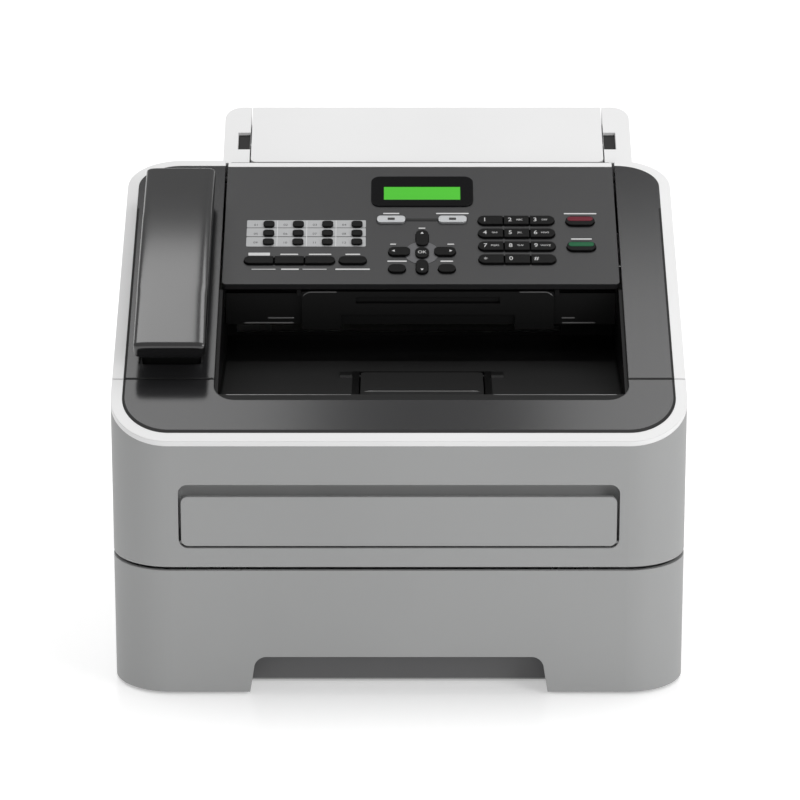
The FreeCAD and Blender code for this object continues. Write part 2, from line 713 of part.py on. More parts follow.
def adf_guide():
    """Black lower guide of the document feeder with side walls, front apron and the exit flap's brackets."""
    x0, x1 = guide_span()
    low = GUIDE_W - GUIDE_WALL_H
    plate = deck_box(x0, x1, GUIDE_V0, GUIDE_V1, GUIDE_W - GUIDE_T, GUIDE_W)
    walls = []
    for a, b in ((x0, x0 + WALL), (x1 - WALL, x1)):
        walls.append(deck_box(a, b, GUIDE_V0, GUIDE_V1, low, GUIDE_W))
    tabs = []
    tab_v = PANEL_PIVOT_V - 7
    for a, b in ((OPEN_X0 - PLAY, x0 + WALL), (x1 - WALL, OPEN_X1 + PLAY)):
        tabs.append(deck_box(a, b, tab_v - 12, tab_v + 3, low, low + 4))
    apron = box(x0, x1, APRON_Y, APRON_Y + WALL, APRON_Z0, APRON_Z1)
    front_y = deck_yz(GUIDE_V0, GUIDE_W)[0]
    ledge = box(x0, x1, APRON_Y, front_y + 4, APRON_Z1 - WALL, APRON_Z1)
    brackets = []
    for a, b in ((EXIT_X0 - 3.3, EXIT_X0 - PLAY), (EXIT_X1 + PLAY, EXIT_X1 + 3.3)):
        y, z = exit_pivot()
        brackets.append(box(a, b, y - 2.2, APRON_Y + WALL, z - 2.2, z + 2.2))
    guide = join([plate, apron, ledge] + walls + tabs + brackets)
    guide = guide.cut(rod(EXIT_X0 - 5, EXIT_X1 + 5, exit_pivot()[0], exit_pivot()[1], EXIT_PIN_R + RUN))
    guide = guide.cut(sensor_block(GAP / 2))
    feed_w = GUIDE_W + 0.8 - FEED_R
    guide = guide.cut(deck_rod(-FAR, FAR, FEED_V, feed_w, FEED_SHAFT_R + RUN))
    half = 40.0 + 1.0
    mid = (x0 + x1) / 2
    return guide.cut(deck_box(mid - half, mid + half, FEED_V - FEED_R - 1, FEED_V + FEED_R + 1, low, FAR))


def sensor_block(grow):
    """Place of the scan sensor, sunk into the lower guide."""
    x0, x1 = guide_span()
    inset = 8.0 - grow
    return deck_box(x0 + inset, x1 - inset, SENSOR_V0 - grow, SENSOR_V0 + SENSOR_L + grow, GUIDE_W - SENSOR_H, GUIDE_W)


def feed_roller():
    """Rubber roller of the document feeder on its shaft."""
    x0, x1 = guide_span()
    mid = (x0 + x1) / 2
    w = GUIDE_W + 0.8 - FEED_R
    roller = deck_rod(mid - 40.0, mid + 40.0, FEED_V, w, FEED_R)
    return roller.fuse(deck_rod(x0, x1, FEED_V, w, FEED_SHAFT_R)).removeSplitter()


def exit_pivot():
    """Hinge axis of the document exit flap, as (y, z)."""
    return EXIT_Y + EXIT_T / 2, EXIT_TOP_Z - 2.0


def exit_flap():
    """Hanging flap below the panel's lip: a long plate with a higher middle and two wings."""
    y, z = exit_pivot()
    plate = box(EXIT_X0, EXIT_X1, EXIT_Y, EXIT_Y + EXIT_T, EXIT_BOTTOM_Z, z)
    wing = 26.0
    window = box(EXIT_X0 + wing, EXIT_X1 - wing, 0, FAR, EXIT_BOTTOM_Z - 1, EXIT_BOTTOM_Z + 10)
    slot = box(EXIT_X0 + wing + 10, EXIT_X1 - wing - 10, 0, FAR, z - 7.5, z - 3.5)
    bead = rod(EXIT_X0, EXIT_X1, y, z, EXIT_T / 2)
    pins = rod(EXIT_X0 - 3.0, EXIT_X1 + 3.0, y, z, EXIT_PIN_R)
    return join([plate.cut(window).cut(slot), bead, pins])


# Control panel
def panel_keys():
    """Key mouldings: name to a list of caps (x0, x1, v0, v1, corner radius), in deck coordinates."""
    keys = {}
    dial_v, dial_step, dial_h = 173.8, 13.53, 8.8
    for row in range(4):
        v0 = dial_v + (3 - row) * dial_step
        keys["dial_keys_row_%d" % (row + 1)] = [(53.0, 104.4, v0, v0 + dial_h, dial_h / 2 - 0.05)]
    touch_x, touch_v = (-87.2, -67.5, -47.85, -28.15), (214.95, 205.5, 196.3)
    keys["one_touch_keys"] = [(x - 3.75, x + 3.75, v - 2.9, v + 2.9, 2.2) for v in touch_v for x in touch_x]
    keys["function_keys"] = [(-102.8, -42.6, 173.5, 180.7, 3.5), (-39.9, -21.5, 173.5, 180.7, 3.5)]
    keys["mode_keys"] = [(-14.7, 4.2, 216.4, 223.3, 2.6), (26.6, 45.5, 216.4, 223.3, 2.6)]
    keys["up_key"] = [(11.4, 19.6, 192.2, 208.0, 3.6)]
    keys["down_key"] = [(11.4, 19.2, 163.6, 177.2, 3.6)]
    keys["left_key"] = [(-6.9, 7.5, 182.0, 190.4, 3.6)]
    keys["right_key"] = [(23.3, 37.7, 182.0, 190.4, 3.6)]
    keys["ok_key"] = [(10.7, 20.1, 179.4, 190.0, 4.6)]
    keys["clear_key"] = [(-7.0, 4.5, 164.6, 172.5, 3.8)]
    keys["menu_key"] = [(26.0, 37.5, 164.6, 172.5, 3.8)]
    keys["stop_key"] = [(112.0, 131.3, 213.6, 222.6, 4.4)]
    keys["start_key"] = [(112.0, 131.3, 186.9, 195.9, 4.4)]
    return keys


KEY_SPLITS = {"dial": (70.1, 87.6), "func": (-83.0, -62.75)}


def key_runner(caps):
    """Box of the runner that holds a moulding's caps below the panel's skin."""
    x0 = min(c[0] for c in caps) - KEY_FLANGE
    x1 = max(c[1] for c in caps) + KEY_FLANGE
    v0 = min(c[2] for c in caps) - KEY_FLANGE
    v1 = max(c[3] for c in caps) + KEY_FLANGE
    top = -PANEL_SKIN - KEY_GAP
    return x0, x1, v0, v1, top - KEY_FLANGE_T, top


def key_moulding(name, caps):
    """Caps standing out of the panel on one runner below its skin; long caps are parted by thin grooves."""
    runner = key_runner(caps)
    solids = [slab(x0, x1, v0, v1, runner[4], KEY_RISE, r) for x0, x1, v0, v1, r in caps]
    solids.append(box(*runner))
    moulding = join(solids)
    for x in KEY_SPLITS.get(name[:4], ()):
        half = KEY_SPLIT / 2
        moulding = moulding.cut(box(x - half, x + half, 0, FAR, -PANEL_SKIN + KEY_GAP, FAR))
    return on_deck(moulding)


def control_panel(keys):
    """Hollow panel with a thin front lip, hinge pins at the back and a hole for every key."""
    x0, x1 = PANEL_X0, PANEL_X1
    block = slab(x0, x1, PANEL_V0, PANEL_V1, -PANEL_T, 0, PANEL_R)
    step = PANEL_V0 + PANEL_LIP_V
    under = prism(
        [(0, -PANEL_T - 1), (step + 5, -PANEL_T - 1), (step + 5, -PANEL_T), (step, -PANEL_LIP), (0, -PANEL_LIP)],
        x0 - 1,
        x1 + 1,
    )
    hollow = box(x0 + WALL, x1 - WALL, step + 8, PANEL_V1 - WALL, -PANEL_T + WALL, -PANEL_SKIN)
    pins = [rod(x0 - 4.5, x0 + 1, PANEL_PIVOT_V, PANEL_PIVOT_W, PANEL_PIN_R)]
    pins.append(rod(x1 - 1, x1 + 4.5, PANEL_PIVOT_V, PANEL_PIVOT_W, PANEL_PIN_R))
    panel = join([block.cut(under)] + pins).cut(hollow)
    holes = []
    for caps in keys.values():
        x0, x1, v0, v1, w0, w1 = key_runner(caps)
        holes.append(box(x0 - PLAY, x1 + PLAY, v0 - PLAY, v1 + PLAY, w0 - KEY_TRAVEL - PLAY, -PANEL_SKIN))
        for a, b, c, d, r in caps:
            g = KEY_GAP
            holes.append(slab(a - g, b + g, c - g, d + g, -PANEL_SKIN - 1, 1, r + g))
    return on_deck(panel.cut(holes))


def lcd_bezel():
    """Black frame standing on the panel, with a sunk window."""
    x0, x1, v0, v1 = BEZEL
    plate = slab(x0, x1, v0, v1, 0, BEZEL_T, BEZEL_R)
    a, b, c, d = SCREEN
    return on_deck(plate.cut(box(a, b, c, d, BEZEL_T - SCREEN_T, FAR)))


def lcd_screen():
    """Display glass in the bezel's window."""
    a, b, c, d = SCREEN
    low = BEZEL_T - SCREEN_T
    return on_deck(box(a, b, c, d, low, BEZEL_T - 0.1))


# Handset
def handset():
    """Handset: crowned bar with rounded corners and two caps that stand in the cradle's cups."""
    half = HANDSET_W / 2
    v0, v1 = HANDSET_V0, HANDSET_V1
    mid_v = (v0 + v1) / 2
    outline = slab(HANDSET_X - half, HANDSET_X + half, v0, v1, 0, 60, HANDSET_R)
    arch = Part.Arc(
        Vector(-FAR, v1, HANDSET_TOP),
        Vector(-FAR, mid_v, HANDSET_TOP + HANDSET_CROWN),
        Vector(-FAR, v0, HANDSET_TOP),
    ).toShape()
    under = [(v0, HANDSET_UNDER), (v0 + CAP_INSET + CAP_L, HANDSET_UNDER)]
    grip0, grip1 = v0 + CAP_INSET + CAP_L + 8, v1 - CAP_INSET - CAP_L - 8
    under += [(grip0, HANDSET_GRIP_UNDER), (grip1, HANDSET_GRIP_UNDER)]
    under += [(v1 - CAP_INSET - CAP_L, HANDSET_UNDER), (v1, HANDSET_UNDER)]
    low = [Vector(-FAR, v, w) for v, w in under]
    path = [Vector(-FAR, v0, HANDSET_TOP)] + low + [Vector(-FAR, v1, HANDSET_TOP)]
    side = Part.Face(Part.Wire([arch] + Part.makePolygon(path).Edges))
    bar = outline.common(side.extrude(Vector(2 * FAR, 0, 0)))
    caps = []
    inset = CAP_SIDE
    for a, b in cup_spans():
        x0, x1 = HANDSET_X - half + inset, HANDSET_X + half - inset
        caps.append(slab(x0, x1, a + CUP_GAP, b - CUP_GAP, -CUP_D + PLAY, HANDSET_UNDER + 1, 6.0))
    return on_deck(join([bar] + caps))


# Front cover
def front_cover():
    """Grey front wall with wrapped corners, hinge bead, feed recess and feed slot."""
    wall = body(0).cut(body(COVER_WALL)).cut(layer(-RIM_T, FAR)).common(before_seam())
    wall = wall.cut(box(-FAR, FAR, -FAR, FAR, 0, COVER_BOTTOM_Z))
    half = WIDTH / 2 - CORNER_R
    bead = box(-half, half, 0.5, BEAD_D, COVER_BOTTOM_Z, BEAD_TOP_Z)
    open_half = FEED_W / 2 + FEED_GAP
    low = FEED_Z0 - (FEED_PIVOT_Z - FEED_Z0) + 0.5
    frame_t = COVER_WALL
    frame = box(-open_half - frame_t, open_half + frame_t, 0.5, RECESS_D + 2, low - frame_t, RECESS_TOP_Z + frame_t)
    recess = slab(-open_half, open_half, low, RECESS_TOP_Z, 0, RECESS_D + 1, FEED_R_CORNER)
    recess.Placement = Placement(Vector(0, RECESS_D, 0), Rotation(Vector(1, 0, 0), 90))
    slot_z = (FEED_Z0 + FEED_Z1) / 2
    slot = box(-SLOT_W / 2, SLOT_W / 2, 0, FAR, slot_z - SLOT_H / 2, slot_z + SLOT_H / 2)
    cover = join([wall, bead, frame]).cut(recess).cut(slot.common(box(-FAR, FAR, 0, SEAM_Y, 0, FAR)))
    cover = cover.cut(rod(-open_half - 2.6, open_half + 2.6, FEED_PIVOT_Y, FEED_PIVOT_Z, FEED_PIN_R + RUN))
    edges = [e for e in cover.Edges if front_bottom_edge(e)]
    cover = cover.makeFillet(1.5, edges) if edges else cover
    for side in (-1, 1):
        x0, x1 = side * KNUCKLE_X - KNUCKLE_L / 2 - PLAY, side * KNUCKLE_X + KNUCKLE_L / 2 + PLAY
        cover = cover.cut(box(x0, x1, HINGE_Y - KNUCKLE_R - PLAY, SEAM_Y, COVER_BOTTOM_Z - 1, BEAD_TOP_Z + PLAY))
        cover = cover.fuse(rod(x0 - 1, x1 + 1, HINGE_Y, HINGE_Z, HINGE_PIN_R))
    return cover.removeSplitter()


def front_bottom_edge(edge):
    """Is this the straight lower edge of the front face?"""
    box_of = edge.BoundBox
    flat = box_of.ZMax < COVER_BOTTOM_Z + 0.01 and box_of.YMax < 0.01
    return flat and box_of.XLength > WIDTH / 2


def front_deck(plate):
    """Dark top of the front cover, cut out for the output tray, with a lower black lip."""
    panel = plate.common(before_seam())
    opening = slab(OPEN_X0, OPEN_X1, OPEN_V, OPEN_V + 200, -FAR, FAR, OPEN_R)
    lip_box = box(OPEN_X0 - 4, OPEN_X1 + 4, OPEN_V - 4, LIP_V, -RIM_T - LIP_DROP, -RIM_T)
    seam = deck_box(OPEN_X0 + WALL + PLAY, OPEN_X1 - WALL - PLAY, OPEN_V - 6, LIP_V, -FAR, FAR)
    lip = on_deck(lip_box).common(seam)
    return join([panel.cut(on_deck(opening)), lip])


def feed_cover():
    """Manual-feed cover, hinged along its lower edge by two stub pins."""
    half = FEED_W / 2
    plate = slab(-half, half, FEED_Z0, FEED_Z1, 0, FEED_T, FEED_R_CORNER - FEED_GAP)
    plate.Placement = Placement(Vector(0, FEED_T, 0), Rotation(Vector(1, 0, 0), 90))
    pins = rod(-half - FEED_GAP - 2.2, half + FEED_GAP + 2.2, FEED_PIVOT_Y, FEED_PIVOT_Z, FEED_PIN_R)
    return join([plate, pins])


# Paper tray
def grip_prism():
    """Finger notch: a low arch that widens a little towards the floor."""
    top, low = GRIP_TOP_W / 2, GRIP_BOTTOM_W / 2
    r = GRIP_R
    z0, z1 = TRAY_BOTTOM_Z - 1, GRIP_TOP_Z
    d = math.sqrt(0.5)
    left = Part.Arc(Vector(-top, 0, z1 - r), Vector(-top + r - r * d, 0, z1 - r + r * d), Vector(-top + r, 0, z1))
    right = Part.Arc(Vector(top - r, 0, z1), Vector(top - r + r * d, 0, z1 - r + r * d), Vector(top, 0, z1 - r))
    edges = [
        Part.makeLine(Vector(-low, 0, z0), Vector(-top, 0, z1 - r)),
        left.toShape(),
        Part.makeLine(Vector(-top + r, 0, z1), Vector(top - r, 0, z1)),
        right.toShape(),
        Part.makeLine(Vector(top, 0, z1 - r), Vector(low, 0, z0)),
        Part.makeLine(Vector(low, 0, z0), Vector(-low, 0, z0)),
    ]
    return Part.Face(Part.Wire(edges)).extrude(Vector(0, GRIP_D + 1, 0)).translated(Vector(0, -1, 0))


def tray_front():
    """Grey front of the paper tray with wrapped corners and the finger notch."""
    wall = plan_prism(0, TRAY_BOTTOM_Z, TRAY_TOP_Z).cut(plan_prism(COVER_WALL, TRAY_BOTTOM_Z, TRAY_TOP_Z))
    wall = wall.common(before_seam())
    t = WALL
    half = GRIP_BOTTOM_W / 2 + t
    pocket = box(-half, half, COVER_WALL / 2, GRIP_D + t, TRAY_BOTTOM_Z, GRIP_TOP_Z + t)
    ledge = box(-half, half, COVER_WALL / 2, GRIP_D + t, BIN_TOP_Z - t, BIN_TOP_Z)
    return join([wall, pocket, ledge]).cut(grip_prism())


def bin_y0():
    """Front of the paper bin, against the back of the notch."""
    return GRIP_D + WALL


def tray_bin():
    """Open bin for the paper stack with lugs for the lift plate."""
    half = BIN_W / 2
    y0 = bin_y0()
    outer = box(-half, half, y0, BIN_END_Y, BIN_Z0, BIN_TOP_Z)
    inner = box(-half + WALL, half - WALL, y0 + WALL, BIN_END_Y - WALL, BIN_Z0 + WALL, FAR)
    lugs = []
    y, z = lift_pivot()
    for side in (-1, 1):
        x0, x1 = sorted((side * (LIFT_W / 2 + PLAY), side * (LIFT_W / 2 + 3.0)))
        lugs.append(box(x0, x1, y - 4, y + 4, BIN_Z0 + WALL / 2, z + 3))
    tray = join([outer.cut(inner)] + lugs)
    return tray.cut(rod(-half + WALL, half - WALL, y, z, LIFT_PIN_R + RUN))


def lift_pivot():
    """Hinge axis of the lift plate, as (y, z)."""
    return LIFT_Y1, BIN_Z0 + WALL + 2.5


def lift_plate():
    """Steel plate under the paper; its front edge rises."""
    y, z = lift_pivot()
    half = LIFT_W / 2
    plate = box(-half, half, bin_y0() + WALL + 3, y, z - LIFT_T / 2, z + LIFT_T / 2)
    curl = rod(-half, half, y, z, LIFT_PIN_R + 0.6)
    pins = rod(-half - 2.8, half + 2.8, y, z, LIFT_PIN_R)
    return join([plate, curl, pins])


def paper_guide(left):
    """Side guide for the paper's edge: an upright plate on a flat foot."""
    x0, t = GUIDE_REST_X, GUIDE_PLATE_T
    y0, y1 = GUIDE_PLATE_Y, GUIDE_PLATE_Y + GUIDE_PLATE_L
    z0 = BIN_Z0 + WALL + PLAY
    plate = box(x0, x0 + t, y0, y1, z0, z0 + GUIDE_PLATE_H)
    foot = box(x0 - 22, x0, y0 + 20, y1 - 20, z0, z0 + 2)
    guide = plate.fuse(foot).removeSplitter()
    return mirror(guide) if left else guide


def rear_guide():
    """Guide for the paper's rear edge."""
    half = REAR_GUIDE_W / 2
    z0 = BIN_Z0 + WALL + PLAY
    y1 = BIN_END_Y - WALL - 4
    plate = box(-half, half, y1 - 3, y1, z0, z0 + REAR_GUIDE_H)
    foot = box(-half, half, y1 - 30, y1, z0, z0 + 2.5)
    return plate.fuse(foot).removeSplitter()


# Frame and print engine
def base_frame():
    """Floor plate, two side plates with bearings, hinge arms, laser shelf, motor bracket and board standoffs."""
    floor = plan_prism(WALL, FOOT_H, FOOT_H + FRAME_T).common(behind_seam())
    floor = floor.cut(box(-FAR, FAR, 0, FRAME_Y0 - 2, 0, FAR))
    pieces = [floor]
    outer = FRAME_X + FRAME_T
    for side in (-1, 1):
        x0, x1 = sorted((side * FRAME_X, side * outer))
        pieces.append(box(x0, x1, FRAME_Y0, FRAME_Y1, FOOT_H, FRAME_TOP_Z))
        a, b = side * KNUCKLE_X - KNUCKLE_L / 2, side * KNUCKLE_X + KNUCKLE_L / 2
        arm = box(a, b, HINGE_Y, FRAME_Y0 + 12, HINGE_Z - 2, HINGE_Z + 2)
        c, d = sorted((side * outer, side * (KNUCKLE_X + KNUCKLE_L / 2)))
        pad = box(c, d, FRAME_Y0, FRAME_Y0 + 12, HINGE_Z - 2, HINGE_Z + 2)
        pieces.append(join([arm, rod(a, b, HINGE_Y, HINGE_Z, KNUCKLE_R), pad]))
    pieces.append(box(-FRAME_X, FRAME_X, LASER_Y0, LASER_Y1, SHELF_Z, SHELF_Z + SHELF_T))
    pieces.append(rod(outer - 1, GEAR_X0 + GEAR_W + 0.3, IDLER_Y, DRUM_Z, SHAFT_R))
    bracket_y = PINION_Y - PINION_R - 8
    low, high = PINION_Z - MOTOR_R, PINION_Z + MOTOR_R
    pieces.append(box(outer - 1, MOTOR_X, bracket_y - 4, bracket_y, low, high))
    pieces.append(box(MOTOR_X - 2, MOTOR_X, bracket_y - 4, PINION_Y + MOTOR_R, low, high))
    for y, z in standoff_places():
        pieces.append(rod(-outer - STANDOFF_L, -outer + 1, y, z, STANDOFF_R))
    frame = join(pieces)
    for side in (-1, 1):
        a, b = side * KNUCKLE_X - KNUCKLE_L, side * KNUCKLE_X + KNUCKLE_L
        frame = frame.cut(rod(a, b, HINGE_Y, HINGE_Z, HINGE_PIN_R + RUN))
    for y, z in ((PICKUP_Y, PICKUP_Z), (DRUM_Y, DRUM_Z), (FUSER_Y, DRUM_Z)):
        frame = frame.cut(rod(-outer - 1, outer + 1, y, z, SHAFT_R + RUN))
    return frame.cut(rod(outer + 1, FAR, PINION_Y, PINION_Z, MOTOR_SHAFT_R + RUN))


def board_spans():
    """Boards on the left side plate, as (y0, y1, z0, z1)."""
    rear = BODY_DEPTH - BOARD_REAR_GAP
    split = rear - BOARD_POWER_L
    main = split - BOARD_GAP
    return ((main - BOARD_MAIN_L, main, BOARD_Z0, BOARD_Z1), (split, rear, BOARD_Z0, BOARD_Z1))


def standoff_places():
    """Corner standoffs of the boards."""
    inset = 6.0
    places = []
    for y0, y1, z0, z1 in board_spans():
        places += [(y, z) for y in (y0 + inset, y1 - inset) for z in (z0 + inset, z1 - inset)]
    return places


def circuit_boards():
    """Main board and power board on the standoffs, each with its largest components."""
    x1 = -BEARING_END_X - STANDOFF_L
    x0 = x1 - BOARD_T
    boards = []
    for y0, y1, z0, z1 in board_spans():
        board = box(x0, x1, y0, y1, z0, z1)
        chip = box(x0 - 3, x0, y0 + 20, y0 + 50, z0 + 40, z0 + 70)
        can = rod(x0 - 18, x0, y1 - 25, z0 + 30, 9.0)
        boards.append(join([board, chip, can]))
    return Part.makeCompound(boards)


def rubber_feet():
    """Four round feet under the floor plate."""
    half = WIDTH / 2 - FEET_SIDE
    feet = []
    for x in (-half, half):
        for y in (FEET_FRONT, BODY_DEPTH - FEET_REAR):
            feet.append(Part.makeCylinder(FEET_R, FOOT_H, Vector(x, y, 0)))
    return Part.makeCompound(feet)


def shaft(y, z, x1):
    """Shaft from the left side plate to x1."""
    return rod(-BEARING_END_X, x1, y, z, SHAFT_R)


def pickup_roller():
    """Rubber pick-up roller on a shaft across the frame."""
    roller = rod(-PICKUP_W / 2, PICKUP_W / 2, PICKUP_Y, PICKUP_Z, PICKUP_R)
    return roller.fuse(shaft(PICKUP_Y, PICKUP_Z, BEARING_END_X)).removeSplitter()


def geared_roller(y, r, teeth, first):
    """Roller with a gear on its right-hand end."""
    roller = rod(-ROLLER_W / 2, ROLLER_W / 2, y, DRUM_Z, r)
    return join([roller, shaft(y, DRUM_Z, GEAR_X0 + GEAR_W), gear(teeth, y, DRUM_Z, first)])


def idler_gear():
    """Idler between the drum's gear and the fuser's gear, turning on a fixed stud."""
    wheel = gear(IDLER_TEETH, IDLER_Y, DRUM_Z, math.pi + math.pi / IDLER_TEETH)
    return wheel.cut(rod(GEAR_X0 - 1, GEAR_X0 + GEAR_W + 1, IDLER_Y, DRUM_Z, SHAFT_R + RUN))


def motor_pinion():
    """Pinion and motor shaft."""
    wheel = gear(PINION_TEETH, PINION_Y, PINION_Z, PINION_DIR + math.pi + math.pi / PINION_TEETH)
    return wheel.fuse(rod(GEAR_X0, MOTOR_X + MOTOR_L - 4, PINION_Y, PINION_Z, MOTOR_SHAFT_R)).removeSplitter()


def main_motor():
    """Round motor on its bracket."""
    can = rod(MOTOR_X, MOTOR_X + MOTOR_L, PINION_Y, PINION_Z, MOTOR_R - 1)
    return can.cut(rod(MOTOR_X - 1, MOTOR_X + MOTOR_L - 3.5, PINION_Y, PINION_Z, MOTOR_SHAFT_R + RUN))


def toner_cartridge():
    """Toner cartridge with a sloped top and a hollow for the drum, resting on ribs of the side plates."""
    points = [(TONER_Y0, TONER_Z0 + 14), (TONER_Y0 + 14, TONER_Z0), (TONER_Y1, TONER_Z0)]
    points += [(TONER_Y1, TONER_Z1 - 16), (TONER_Y1 - 16, TONER_Z1), (TONER_Y0, TONER_Z1)]
    block = prism(points, -FRAME_X, FRAME_X)
    return block.cut(rod(-FAR, FAR, DRUM_Y, DRUM_Z, DRUM_R + 1.0))


def fuser_housing():
    """Fuser housing round the heated roller."""
    half_l, low, high = 24.0, DRUM_Z - 20.0, DRUM_Z + 30.0
    block = box(-FRAME_X, FRAME_X, FUSER_Y - half_l, FUSER_Y + half_l, low, high)
    return block.cut(rod(-FAR, FAR, FUSER_Y, DRUM_Z, FUSER_R + 2.0))


def laser_unit():
    """Closed box of the laser scanner on its shelf."""
    half = LASER_W / 2
    z0 = SHELF_Z + SHELF_T
    return slab(-half, half, LASER_Y0 + 3, LASER_Y1 - 3, z0, z0 + LASER_H, 8.0)


def speaker():
    """Round loudspeaker on the left side plate."""
    x1 = -BEARING_END_X
    cone = rod(x1 - SPEAKER_L, x1, SPEAKER_Y, SPEAKER_Z, SPEAKER_R)
    return cone.cut(rod(x1 - SPEAKER_L - 1, x1 - SPEAKER_L + 4, SPEAKER_Y, SPEAKER_Z, SPEAKER_R - 3))


def export(name, shape):
    """Write one piece, with the origin at the middle of the footprint."""
    moved = shape.translated(Vector(0, -DEPTH / 2, 0))
    moved.exportStep("parts/%s.step" % name)


def build():
    """Make every piece, as name to shape."""
    shell, ring, plate, keys = side_shell(), rim_ring(), deck_plate(), panel_keys()
    pieces = {
        "left_side_cover": side_cover(shell, True),
        "right_side_cover": side_cover(shell, False),
        "rear_panel": rear_panel(shell),
        "rear_cover": rear_cover(),
        "line_sockets": sockets(),
        "frame_screws": frame_screws(),
        "side_rim": side_rim(ring),
        "front_rim": ring.common(before_seam()),
        "deck_cover": deck_cover(plate),
        "front_deck": front_deck(plate),
        "hook_switch": hook_switch(),
        "output_tray": output_tray(),
        "support_flap": support_flap(),
        "document_chute": document_chute(),
        "document_support": document_support(),
        "adf_lower_guide": adf_guide(),
        "scan_sensor": sensor_block(0),
        "adf_feed_roller": feed_roller(),
        "document_exit_flap": exit_flap(),
        "control_panel": control_panel(keys),
        "lcd_bezel": lcd_bezel(),
        "lcd_screen": lcd_screen(),
        "handset": handset(),
        "front_cover": front_cover(),
        "manual_feed_cover": feed_cover(),
        "tray_front": tray_front(),
        "tray_bin": tray_bin(),
        "lift_plate": lift_plate(),
        "paper_guide_left": paper_guide(True),
        "paper_guide_right": paper_guide(False),
        "rear_guide": rear_guide(),
        "base_frame": base_frame(),
        "rubber_feet": rubber_feet(),
        "circuit_boards": circuit_boards(),
        "speaker": speaker(),
        "pickup_roller": pickup_roller(),
        "drum": geared_roller(DRUM_Y, DRUM_R, DRUM_TEETH, 0.0),
        "fuser_roller": geared_roller(FUSER_Y, FUSER_R, FUSER_TEETH, math.pi),
        "idler_gear": idler_gear(),
        "motor_pinion": motor_pinion(),
        "main_motor": main_motor(),
        "toner_cartridge": toner_cartridge(),
        "fuser_housing": fuser_housing(),
        "laser_unit": laser_unit(),
    }
    for name, caps in keys.items():
        pieces[name] = key_moulding(name, caps)
    return pieces


os.makedirs("parts", exist_ok=True)
for piece_name, piece_shape in build().items():
    export(piece_name, piece_shape)
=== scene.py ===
"""Looks of the fax machine: finishes for every piece, the sculpted handset, printed legends and thin trim.

Places on the sloped top are given in deck coordinates (x, v, w) in millimetres: v runs up the slope from the
front edge of the top, w is the height above it. Everything else is in metres in the part's own frame.
"""
from __future__ import annotations

import logging
import math
from dataclasses import dataclass, field
from enum import Enum

import bpy
import numpy as np
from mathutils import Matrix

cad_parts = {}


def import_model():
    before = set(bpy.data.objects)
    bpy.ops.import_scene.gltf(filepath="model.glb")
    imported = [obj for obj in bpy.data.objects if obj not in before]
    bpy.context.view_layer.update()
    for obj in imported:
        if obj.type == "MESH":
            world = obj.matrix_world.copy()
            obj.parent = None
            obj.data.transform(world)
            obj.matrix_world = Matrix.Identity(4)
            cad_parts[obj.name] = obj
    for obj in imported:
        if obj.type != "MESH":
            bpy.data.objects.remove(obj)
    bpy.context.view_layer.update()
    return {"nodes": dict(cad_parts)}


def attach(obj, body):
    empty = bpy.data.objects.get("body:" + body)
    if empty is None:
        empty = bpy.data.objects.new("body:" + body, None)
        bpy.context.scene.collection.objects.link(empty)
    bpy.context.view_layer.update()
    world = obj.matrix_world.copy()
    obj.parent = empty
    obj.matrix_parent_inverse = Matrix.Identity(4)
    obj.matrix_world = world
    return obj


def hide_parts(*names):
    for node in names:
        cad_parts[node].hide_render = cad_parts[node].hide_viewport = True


LOG = logging.getLogger("fax")
MM = 0.001
DECK_ANGLE = math.radians(24.4)
DECK_FRONT_Y = -180.0
DECK_FRONT_Z = 171.4
PRINT_H = 0.08
PRINT_LOW = 0.01
ARROW_R = 1.3
ARROW_INSET = 4.2
CAPTION_H = 1.2
KEY_CAPTION_GAP = 3.8
RULE_V = 168.8
CAPTION_BARS = (
    ("function_1", -93.0, 184.4, 14.4, 3.0),
    ("function_2", -73.0, 184.2, 12.0, CAPTION_H),
    ("function_3", -52.5, 184.2, 15.0, CAPTION_H),
    ("function_4", -30.7, 184.2, 10.0, CAPTION_H),
    ("function_low", -72.2, RULE_V, 12.0, CAPTION_H),
    ("single_low", -30.7, RULE_V, 23.0, CAPTION_H),
    ("mode_left", -5.2, 227.2, 11.0, CAPTION_H),
    ("mode_right", 36.0, 227.2, 22.0, CAPTION_H),
    ("stop", 122.0, 227.0, 22.0, CAPTION_H),
    ("start", 122.0, 200.2, 14.0, CAPTION_H),
    ("up", 15.4, 211.6, 4.6, 1.0),
    ("left", -3.9, 194.8, 4.0, 1.0),
    ("right", 34.6, 194.8, 4.6, 1.0),
)
DIAL_ROWS = (("1", "2 ABC", "3 DEF"), ("4 GHI", "5 JKL", "6 MNO"), ("7 PQRS", "8 TUV", "9 WXYZ"), ("*", "0", "#"))


class Body(str, Enum):
    """Bodies of the frame that dressed pieces ride on."""

    CHASSIS = "chassis"
    PANEL = "panel"
    FRONT = "front"
    TRAY = "tray"
    HANDSET = "handset"


class Ease(Enum):
    """Edge of a pad: sharp print or a rounded moulding."""

    PRINT = 0
    ROUND = 6


def deck(x: np.ndarray, v: np.ndarray, w: np.ndarray) -> np.ndarray:
    """Turn deck coordinates into the part's frame.

    Args:
        x, v, w: arrays of one shape, in millimetres.
    Returns:
        Array with a last axis of 3, in metres.
    """
    c, s = math.cos(DECK_ANGLE), math.sin(DECK_ANGLE)
    x, v, w = np.broadcast_arrays(x, v, w)
    return np.stack([x, DECK_FRONT_Y + v * c - w * s, DECK_FRONT_Z + v * s + w * c], -1) * MM


